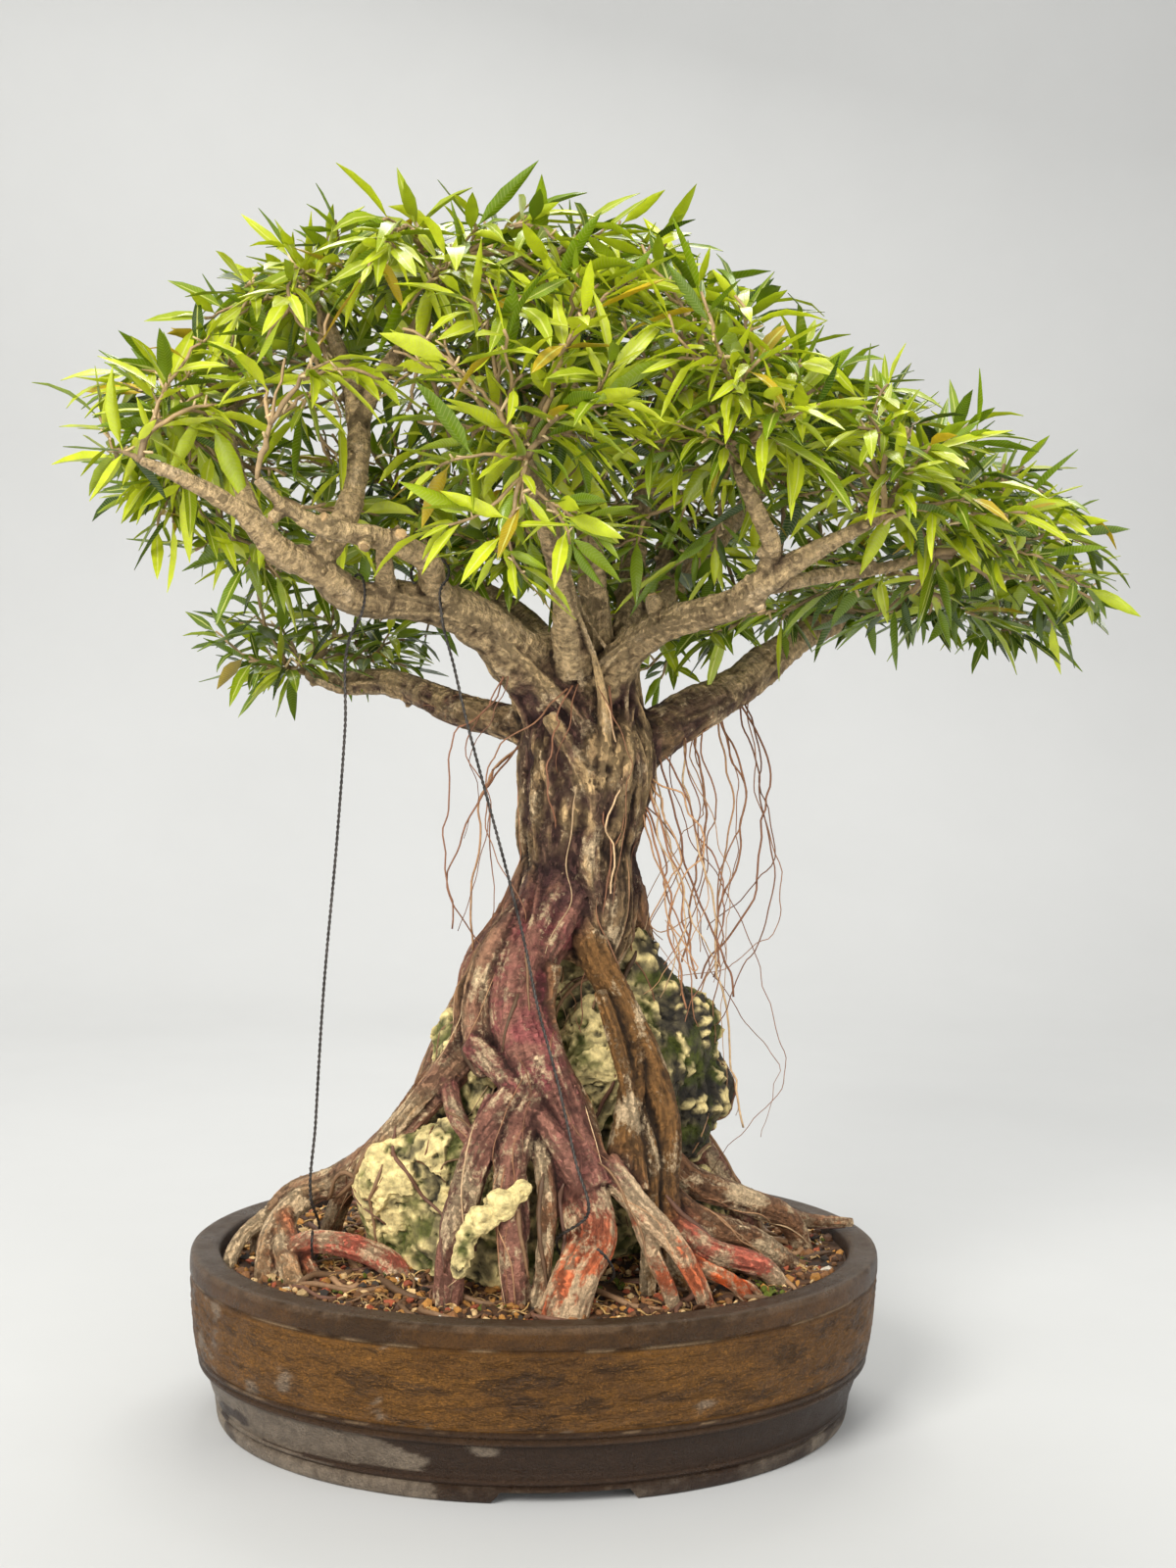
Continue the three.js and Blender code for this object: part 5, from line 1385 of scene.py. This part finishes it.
def bark_colours(mesh, skin, local, kinds, barks):
    """Each bark's dark colour in the furrows and light one on the crests, with streaks; besides the bark's own
    tones this is partly painted shade in the furrows and painted light on the crests, and the deepest crevices
    get painted shade.
    """
    z = skin[:, 2]
    crimson, orange, ridge = (kinds == barks.index(bark) for bark in ("crimson", "orange", "ridge"))
    tones = np.array([np.hstack(BARKS[bark]) for bark in barks])[kinds.astype(int)]
    for bark, share in (("crimson", orange * smooth_step(140, 176, z)),
                        ("limb", smooth_step(470, 520, z)),
                        ("trunk", in_waist(z) * ~ridge)):
        tones = blend(tones, np.hstack(BARKS[bark]), share)
    dark, light = np.split(spread_over(mesh, tones, 16), 2, axis=1)
    height = height_over(mesh, 10)
    streaks = noise(local, (14, 14, 2.0), 77, 2)
    patches = noise(skin, 22, 78, 3)
    grain = noise(skin, 3, 79, 3)
    # Partly painted shade and light: the dark colour sinks into the furrows and the light one rises onto the
    # crests, mixed with the bark's own patches, streaks and grain.
    share = smooth_step(-0.6, 1.0, 0.7 * height + 0.6 * patches + 0.3 * streaks + 0.35 * grain + 0.1)
    colours = blend(dark, light, share)
    bare = (smooth_step(-0.18, 0.0, noise(skin, (17, 17, 36), 84, 3)) * smooth_step(312, 345, z)
            * smooth_step(490, 465, z) * smooth_step(1.8, 0.6, height))
    colours = blend(colours, PLUM, 0.75 * bare)
    reds = crimson * smooth_step(345, 310, z) * (0.35 + 0.65 * smooth_step(190, 235, z))
    colours = blend(colours, STREAK, 0.6 * reds * smooth_step(0.0, 0.5, 0.7 * streaks + 0.9 * patches + 0.1))
    colours = blend(colours, SOIL_DARK, 0.5 * smooth_step(112, 101, z))
    # Painted shade: the deepest crevices between roots and strands are darkened towards a dark soil brown.
    crevice_shade = smooth_step(-0.5, -2.4, height)
    return blend(colours * (1 + 0.2 * grain)[:, None], 0.5 * SOIL_DARK, 0.8 * crevice_shade)


def build_stub_ends(material):
    """Pale sawn faces on the pruned stubs."""
    random = np.random.default_rng(SEED + 3)
    shape = Shape()
    for route in STUBS:
        tip = np.array(route[-1][:3], float)
        way = unit(tip - np.array(route[-2][:3], float))
        disc = tip + way * np.array([[-2.0], [0.9], [1.3]])
        radii = route[-1][3] * np.array([0.86, 0.78, 0.5]) * random.uniform(0.75, 1)
        uneven = random.uniform(0.8, 1.12, 12)
        add_tube(shape, disc, radii, 12, lambda angles, uneven=uneven: uneven,
                 tint=WOOD_CUT * random.uniform(0.5, 1.05))
    add_piece("pruning_cuts", shape, material, "bark", crease=40)


def build_aerial_roots(material):
    """Thin wavy strands under the limbs."""
    random = np.random.default_rng(SEED + 4)
    shape = Shape()
    for strand, route in enumerate(AERIAL_ROOTS):
        for copy in range(4 if strand < 7 else 3):
            points = np.array(route, float)
            loose = np.linspace(0.15, 1, len(points))[:, None]
            if copy:
                points = points + random.normal(0, (19, 12, 12), points.shape) * loose
                points[-1, 2] += random.uniform(-60, 60)
            dense, along = spline(points, 5)
            sway = np.stack([noise(np.full((len(along), 3), 40.0 * strand + 7 * copy)
                                   + along[:, None] * (1, 0, 0), 44, axis + 81, 3)
                             for axis in range(3)], axis=-1)
            dense = dense + 15 * sway * smooth_step(0, 30, along)[:, None]
            radii = random.uniform(0.32, 0.66) * np.linspace(1.2, 0.6, len(dense))
            if not copy:
                radii = np.maximum(radii, 0.7)
            add_tube(shape, dense, radii, 4, tint=pick(AERIAL_COLOURS, random, 0.75, 1.2))
    add_piece("aerial_roots", shape, material, "bark", "tree_wood")


def build_rootlets(material, *carriers):
    """Thin roots that creep down over the trunk, the large roots and the rock."""
    random = np.random.default_rng(SEED + 6)
    corners, faces, starts = [], [], []
    for carrier in carriers:
        mesh = carrier.data
        faces += [[corner + len(corners) for corner in face.vertices] for face in mesh.polygons]
        corners += [corner.co.copy() for corner in mesh.vertices]
        points = points_of(mesh)
        starts.append(points[(points[:, 2] > 135) & (points[:, 2] < 470)])
    skin = BVHTree.FromPolygons(corners, faces)
    shape = Shape()
    for number in range(ROOTLETS):
        source = starts[1 if number % 5 == 0 else 0]
        place = source[random.integers(len(source))]
        if place[2] > 345 and random.uniform() < 0.6:
            continue
        thick = place[2] < 330 and random.uniform() < 0.4
        radius = random.uniform(0.9, 2.0) if thick else random.uniform(0.35, 0.8)
        way = unit(np.array([random.normal(0, 0.5), random.normal(0, 0.5), -1.0]))
        track = []
        for _ in range(random.integers(10, 33)):
            near, normal, _, _ = skin.find_nearest(Vector(place * MM + FOOT_CENTRE))
            place = (np.array(near) - FOOT_CENTRE) / MM + 0.3 * radius * np.array(normal)
            if place[2] < 103:
                break
            track.append(place)
            way = unit(way + random.normal(0, 0.15, 3) - (0, 0, 0.16))
            way = unit(way - np.array(normal) * (way @ np.array(normal)))
            place = place + 4.2 * way
        if len(track) > 6:
            track = np.array(track)
            for _ in range(2):
                track[1:-1] = 0.5 * track[1:-1] + 0.25 * (track[:-2] + track[2:])
            colour = pick(ROOTLET_COLOURS if thick else AERIAL_COLOURS, random, 0.7, 1.15)
            taper = np.minimum(np.linspace(1, 0.5, len(track)), np.linspace(0.3, 6, len(track)))
            radii = radius * taper * random.uniform(0.85, 1.15, len(track))
            add_tube(shape, track, radii, 6 if thick else 4, tint=colour)
    add_piece("creeping_rootlets", shape, material, "bark")


def hook_points(hook, sign):
    """Points of a hook most of the way round a limb, from its open end to the wire's side."""
    centre, along, radius = (np.asarray(part, float) for part in hook)
    axis = unit(along)
    down = np.array([0, 0, -float(sign)])
    down = unit(down - axis * (down @ axis))
    beside = np.cross(down, axis)
    angles = HOOK_TURN * TURN * (np.linspace(0, 1, 25) - 0.5)
    reach = radius + WIRE_RADIUS + HOOK_SLACK
    return centre - reach * np.outer(np.cos(angles), down) + sign * reach * np.outer(np.sin(angles), beside)


def build_wires(material):
    """Each guy wire: two twisted strands, wound tighter at both ends, between its hooks."""
    for name, wire in WIRES.items():
        top, foot = hook_points(wire["top"], 1), hook_points(wire["foot"], -1)
        core, along = spline(np.concatenate([top, wire["route"], foot]), 1.6)
        _, across, beside = frames_along(core)
        shape = Shape()
        for phase in (0, math.pi):
            strand = core + STRAND_OFFSET * sideways(across, beside, phase + along * TURN / TWIST_PITCH)
            add_tube(shape, strand, np.full(len(strand), STRAND_RADIUS), 6)
        below_top, above_foot = (np.argmin(np.linalg.norm(core - end, axis=1)) for end in (top[-1], foot[0]))
        for span in (slice(below_top, below_top + COIL_STEPS),
                     slice(max(above_foot - COIL_STEPS, 0), above_foot)):
            turn = along[span] * TURN / COIL_PITCH
            coil = core[span] + COIL_REACH * sideways(across[span], beside[span], turn)
            add_tube(shape, coil, np.full(len(coil), COIL_RADIUS), 6)
        add_piece("twisted_" + name, shape, material, "wire", name)


def crown_reach(points):
    """How far out each point lies in the crown: 0 at its core and 1 on its outer face."""
    x, y, z = points.T
    top = np.interp(x, *zip(*CROWN_TOP))
    front = smooth_step(20, -80, y)
    under = np.interp(x, *zip(*CROWN_UNDER)) * (1 - front) + np.interp(x, *zip(*CROWN_FRONT_UNDER)) * front
    middle = under + 0.3 * (top - under)
    width = np.maximum(1 - ((x - CROWN_MID_X) / CROWN_HALF_WIDTH) ** 2, 1e-6)
    rise = (z - middle) / np.where(z > middle, top - middle, middle - under)
    reach = np.hypot(y / (CROWN_HALF_DEPTH * np.sqrt(width)), rise)
    return np.where(width > 1e-5, reach, 2)


def shoot_ends(random):
    """Ends of the shoots as (x, y, z, leaves): over the outside of the crown and in the low pad.

    Where the crown is open they stand further apart, with bare twigs between them."""
    corner = np.array([CROWN_MID_X - CROWN_HALF_WIDTH, -CROWN_HALF_DEPTH, 450])
    far = np.array([CROWN_MID_X + CROWN_HALF_WIDTH, CROWN_HALF_DEPTH, 800])
    tries = corner + (far - corner) * random.uniform(0, 1, (SHOOT_TRIES, 3))
    reach = crown_reach(tries)
    shell = (reach > CROWN_SHELL[0]) & (reach < CROWN_SHELL[1])
    side = (np.abs(tries[:, 0] - CROWN_MID_X) > 0.8 * CROWN_HALF_WIDTH) & (reach < CROWN_SHELL[1])
    pad = np.linalg.norm((tries - LOW_PAD_CENTRE) / LOW_PAD_REACH, axis=1) < 1
    tries = tries[shell | side | pad]
    inside = np.linalg.norm((tries - OPEN_CENTRE) / OPEN_REACH, axis=1)
    spacing = OPEN_SPACING + (SHOOT_SPACING - OPEN_SPACING) * smooth_step(0.6, 1, inside)
    ends = [(*point, 8) for point in HANGING_SHOOTS]
    kept = np.array(HANGING_SHOOTS, float)
    for bare, gaps in ((False, spacing), (True, np.where(inside < 0.95, BARE_SPACING, 1000))):
        for point, gap in zip(tries, gaps):
            if gap < 1000 and np.min(np.linalg.norm(kept - point, axis=1)) > gap:
                kept = np.vstack([kept, point])
                ends.append((*point, random.integers(0, 2) if bare else random.integers(*SHOOT_LEAVES)))
    return np.array(ends)


def grow_twigs(start, way, ends):
    """Joins the shoots of one spray to its limb by the shortest branching twigs.

    Returns each twig as (fork, elbow, end, leaves), with the points, directions and tip counts."""
    points, ways, paths, parents, leafy = [start], [way], [0.0], [-1], [False]
    twigs = []
    for *end, leaves in sorted(ends, key=lambda end: np.linalg.norm(end[:3] - start)):
        end = np.array(end)
        steps = end - np.array(points)
        gaps = np.linalg.norm(steps, axis=1)
        bends = 1 - np.sum(steps / np.maximum(gaps, 1e-6)[:, None] * np.array(ways), axis=1)
        cost = gaps + 0.55 * np.array(paths) + 24 * bends + 14 * np.array(leafy) + 1e6 * (gaps < 9)
        best = int(np.argmin(cost))
        gap = gaps[best]
        elbow = points[best] + 0.5 * steps[best] + 0.16 * gap * ways[best]
        fork_way = unit(elbow - points[best])
        end_way = unit(end - elbow)
        points += [elbow, end]
        ways += [fork_way, end_way]
        paths += [paths[best] + gap / 2, paths[best] + gap]
        parents += [best, len(points) - 2]
        leafy += [False, True]
        twigs.append((best, len(points) - 2, len(points) - 1, int(leaves)))
    tips = np.zeros(len(points), int)
    for _, elbow, _, _ in twigs:
        up = elbow
        while up >= 0:
            tips[up] += 1
            up = parents[up]
    return twigs, np.array(points), np.array(ways), np.maximum(tips, 1)


def add_twigs(shape, twigs, points, tips, random):
    """Ringed, slightly kinked twigs with pruned stubs."""
    radii = TWIG_RADIUS * tips ** 0.33
    for *route, _ in twigs:
        stops = np.column_stack([points[route], radii[route]])
        stops[0, 3] = min(stops[0, 3], 1.15 * stops[1, 3] + 0.2)
        stops[2, 3] = min(stops[2, 3], 0.85)
        dense, along = spline(stops, 6.5)
        kinks = random.normal(0, 0.85, (len(dense), 3)) * np.minimum(1, along / 10)[:, None]
        middle = dense[:, :3] + kinks
        knobs = dense[:, 3] * random.uniform(0.86, 1.26, len(dense))
        colour = blend(*TWIG_BARK[:2], smooth_step(1, 3.4, stops[1, 3])) * random.uniform(0.6, 1.15)
        add_tube(shape, middle, knobs, 5, tint=colour)
        if along[-1] > 22:
            for _ in range(random.integers(1, 4)):
                k = random.integers(1, len(middle) - 1)
                way = unit(random.normal(0, 1, 3) + (0, 0, 0.5))
                stub = middle[k] + way * np.array([[0], [0.5], [1]]) * random.uniform(3.5, 9)
                add_tube(shape, stub, np.array([1.1, 0.85, 0.7]) * min(dense[k, 3], 1.3), 4,
                         tint=TWIG_BARK[2])


def leaf_frames(count, end, way, random):
    """Bases, directions and upper sides of the leaves on one shoot, tip first."""
    order = np.arange(count)
    aside = unit(np.cross(way, UP + 0.01 * random.normal(0, 1, 3)))
    other = np.cross(way, aside)
    turn = GOLDEN_ANGLE * order + random.uniform(0, TURN)
    spread = 0.35 + 0.95 * (order / max(count, 1)) ** 0.7 + random.normal(0, 0.28, count)
    spread[:1] = random.uniform(0.05, 0.3)
    around = np.outer(np.cos(turn), aside) + np.outer(np.sin(turn), other)
    along = np.cos(spread)[:, None] * way + np.sin(spread)[:, None] * around
    along = unit(along * (1, 1, 0.55) + random.normal(0.0, 0.22, (count, 1)) * UP)
    base = end - np.outer(1 + 3.4 * order, way)
    face = 0.8 * UP + 0.35 * way + random.normal(0, 0.34, (count, 3))
    return base, along, face


def add_leaves(shape, base, along, face, random, sun):
    """Folded, arching, pointed leaves: closed blades with a midrib, a short stalk and a green that varies from
    leaf to leaf and is lighter where painted sunlight falls.
    """
    count = len(base)
    length = random.uniform(*LEAF_LENGTH, count)
    long_ones = random.uniform(0, 1, count) < 0.18
    length = np.where(long_ones, length * 1.18, length) * (0.95 + 0.15 * sun)
    width = length / random.uniform(*LEAF_SLENDERNESS, count)
    bend = random.uniform(0, 1, count) ** 1.7 * 0.95
    twist = random.normal(0, 0.4, count)
    fold = random.uniform(0.05, 0.5, count)
    sway = random.normal(0, 0.18, count)
    side = unit(np.cross(along, face))
    normal = np.cross(side, along)
    stations = len(LEAF_STATIONS)
    steps = np.diff(LEAF_STATIONS, prepend=0)
    place = base.copy()
    rows, ways, sides, tops = [], [], [], []
    for t, step in zip(LEAF_STATIONS, steps):
        arch = bend * t * 1.15
        lean = sway * t
        level = 1 - np.abs(along[:, 2]) * 0.6
        fall = -UP * (np.sin(arch) * level)[:, None]
        way = unit(along * np.cos(arch)[:, None] + fall + side * lean[:, None])
        place = place + way * (length * step)[:, None]
        roll = (twist * t)[:, None]
        across = unit(side * np.cos(roll) + normal * np.sin(roll))
        across = unit(across - way * np.sum(across * way, axis=1, keepdims=True))
        rows.append(place)
        ways.append(way)
        sides.append(across)
        tops.append(np.cross(across, way))
    middle, across, top = (np.stack(part, axis=1) for part in (rows, sides, tops))
    half = 0.5 * width[:, None] * LEAF_OUTLINE
    edge_rise = (half * np.sin(fold)[:, None])[..., None] * top
    edge_out = (half * np.cos(fold)[:, None])[..., None] * across
    rib = (0.16 + 0.028 * half)[..., None] * top
    wave = (0.09 * half * np.sin(TURN * 1.6 * LEAF_STATIONS + 9 * twist[:, None]))[..., None] * top
    sections = np.stack([
        middle - edge_out + edge_rise + wave,
        middle + 0.2 * rib,
        middle + edge_out + edge_rise - wave,
        middle - 2.4 * rib,
    ], axis=2)
    quads, caps = tube_faces(stations, 4)
    skin = sections.reshape(count, -1, 3)
    ends = np.stack([middle[:, 0], middle[:, -1]], axis=1)
    skin = np.concatenate([skin, ends], axis=1)
    size = stations * 4 + 2
    shift = (size * np.arange(count))[:, None, None]
    dark, mid, bright = LEAF_TONES
    # Painted light: the sunlight share gives the leaves in front, at the left and lower down a lighter,
    # yellower green.
    tone = np.clip(0.5 + 0.42 * sun + random.normal(0, 0.3, count), 0, 1)
    colours = blend(blend(dark, mid, smooth_step(0, 0.5, tone)), bright, smooth_step(0.45, 1, tone))
    turned = random.uniform(0, 1, count) < 0.02
    colours = np.where(turned[:, None], OLD_LEAF * random.uniform(0.6, 1.1, (count, 1)), colours)
    tips = np.tile([1, 0, 1, 0.3], stations)
    shares = np.repeat(LEAF_STATIONS, 4)
    shape.add(skin.reshape(-1, 3), (quads + shift).reshape(-1, 4), (caps + shift).reshape(-1, 3),
              tint=np.repeat(colours, size, axis=0),
              across=np.tile(np.concatenate([tips, [0, 0]]), count),
              along=np.tile(np.concatenate([shares, [0, 1]]), count))


def sunlight(points):
    """How much light reaches a leaf, from -1 behind and below to 1 in front, at the left and on top."""
    x, y, z = points.T
    return np.clip(0.2 - 0.45 * x / 350 - 0.8 * y / 240 - 0.12 * (z - 600) / 150, -1, 1)


def build_foliage(leaf, twig):
    """A twig piece and a leaf piece for each spray, grown from the end of its limb."""
    random = np.random.default_rng(SEED)
    ends = shoot_ends(random)
    tips = np.array([route[-1][:3] for route in LIMBS.values()], float)
    owner = np.argmin(np.linalg.norm(ends[:, None, :3] - tips[None], axis=2), axis=1)
    low, high = ((np.array(corner) - FOOT_CENTRE) / MM for corner in cad_bounds)
    for k, (name, route) in enumerate(LIMBS.items()):
        start = tips[k]
        way = unit(start - np.array(route[-2][:3], float))
        twigs, points, ways, counts = grow_twigs(start, way, ends[owner == k])
        wood = Shape()
        add_twigs(wood, twigs, points, counts, random)
        base, along, face = [], [], []
        for _, _, end, leaves in twigs:
            parts = leaf_frames(leaves, points[end], ways[end], random)
            for kept, part in zip((base, along, face), parts):
                kept.append(part)
        base, along, face = (np.concatenate(part) for part in (base, along, face))
        reach = base + along * LEAF_LENGTH[1]
        fits = np.all((reach > low - 4) & (reach < high + (4, 4, 8)), axis=1)
        blades = Shape()
        add_leaves(blades, base[fits], along[fits], face[fits], random, sunlight(reach[fits]))
        node = "leafy_spray_" + name
        add_piece("leaves_" + name, blades, leaf, "leaf", node, crease=70)
        add_piece("twigs_" + name, wood, twig, "bark", node)


def add_camera():
    """The camera at the photograph's viewing angle."""
    heading, pitch, roll = CAMERA_HEADING, CAMERA_PITCH, CAMERA_ROLL
    level = Vector((math.cos(heading), math.sin(heading), 0))
    ahead = Vector((-math.sin(heading), math.cos(heading), 0))
    forward = ahead * math.cos(pitch) - Vector((0, 0, math.sin(pitch)))
    upright = level.cross(forward)
    right = level * math.cos(roll) + upright * math.sin(roll)
    up = upright * math.cos(roll) - level * math.sin(roll)
    data = bpy.data.cameras.new("camera")
    data.sensor_fit = "VERTICAL"
    data.sensor_height = SENSOR_HEIGHT
    data.lens = FOCAL_SHARE * SENSOR_HEIGHT
    camera = new_object("camera", data)
    turn = Matrix((right, up, -forward)).transposed().to_4x4()
    place = Vector(np.array(CAMERA_PLACE) * MM + FOOT_CENTRE)
    camera.matrix_world = Matrix.Translation(place) @ turn
    bpy.context.scene.camera = camera


def add_light(name, place, size, power, colour):
    """A soft rectangular light that faces the tree."""
    data = bpy.data.lights.new(name, "AREA")
    data.shape = "RECTANGLE"
    data.size, data.size_y = size
    data.energy = power
    data.color = colour
    turn = (Vector(LIGHT_AIM) - Vector(place)).to_track_quat("-Z", "Y").to_matrix().to_4x4()
    new_object(name, data).matrix_world = Matrix.Translation(place) @ turn


def add_studio():
    """A pale floor that curves up into a pale wall, soft lights and an even glow."""
    material, tree, shader = new_material("pale_backdrop", Roughness=0.9)
    feed(tree, shader, Base_Color=mottled(tree, WALL, stretched_places(tree), 1.4, 0.97, 1.03))
    bend, back, wide = 900, 1500, 4200
    curve = [(back + bend * math.sin(a), bend - bend * math.cos(a)) for a in np.linspace(0, math.pi / 2, 13)]
    profile = [(-2600, 0), *curve, (back + bend, 3600)]
    shape = Shape()
    shape.add([(x, y, z) for y, z in profile for x in (-wide, wide)],
              [(2 * k, 2 * k + 1, 2 * k + 3, 2 * k + 2) for k in range(len(profile) - 1)])
    backdrop = new_object("backdrop", mesh_from("backdrop", shape))
    backdrop.data.materials.append(material)
    for light in LIGHTS:
        add_light(*light)
    world = bpy.data.worlds.new("studio")
    world.use_nodes = True
    glow = world.node_tree.nodes["Background"]
    glow.inputs[0].default_value = (1.0, 0.995, 0.985, 1)
    glow.inputs[1].default_value = 0.64
    bpy.context.scene.world = world
    bpy.context.scene.view_settings.view_transform = "Standard"


add_camera()
add_studio()
earth = surface_material("moist_soil", (260.0, 0.6, 1.4), [(180.0, 0.8, 0.002)], (60.0, 0.8, 0.98))
crumb = surface_material("mixed_grit", (420.0, 0.75, 1.25), [(600.0, 0.6, 0.0008)], (200.0, 0.62, 0.95))
limestone = surface_material("porous_limestone", (240.0, 0.5, 1.34),
                            [(140.0, 0.8, 0.0026), (480.0, 0.7, 0.001)], (70.0, 0.8, 0.98))
strand = surface_material("dry_root_fibre", (300.0, 0.75, 1.2), [(400.0, 0.4, 0.0004)], (120.0, 0.55, 0.85))
young_bark = surface_material("young_bark", (260.0, 0.72, 1.24), [(360.0, 0.6, 0.0006)], (150.0, 0.5, 0.8))
build_pot(stoneware_material())
build_soil(earth)
build_grit(crumb)
build_litter(strand)
rock = build_rock(limestone)
wood = build_wood(bark_material())
build_rootlets(strand, wood, rock)
build_stub_ends(young_bark)
build_aerial_roots(strand)
build_wires(surface_material("twisted_steel", (160.0, 0.5, 2.2), [(900.0, 0.3, 0.0003)],
                             (120.0, 0.38, 0.62), STEEL, (1, 1, 0.4), Metallic=0.75))
build_foliage(leaf_material(), young_bark)
plastic = surface_material("plastic_mesh", (220.0, 0.6, 2.0), [(700.0, 0.25, 0.0004)],
                           (90.0, 0.5, 0.8), PLASTIC)
for node in ("drain_screen_left", "drain_screen_right"):
    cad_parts[node].data.materials.clear()
    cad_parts[node].data.materials.append(plastic)
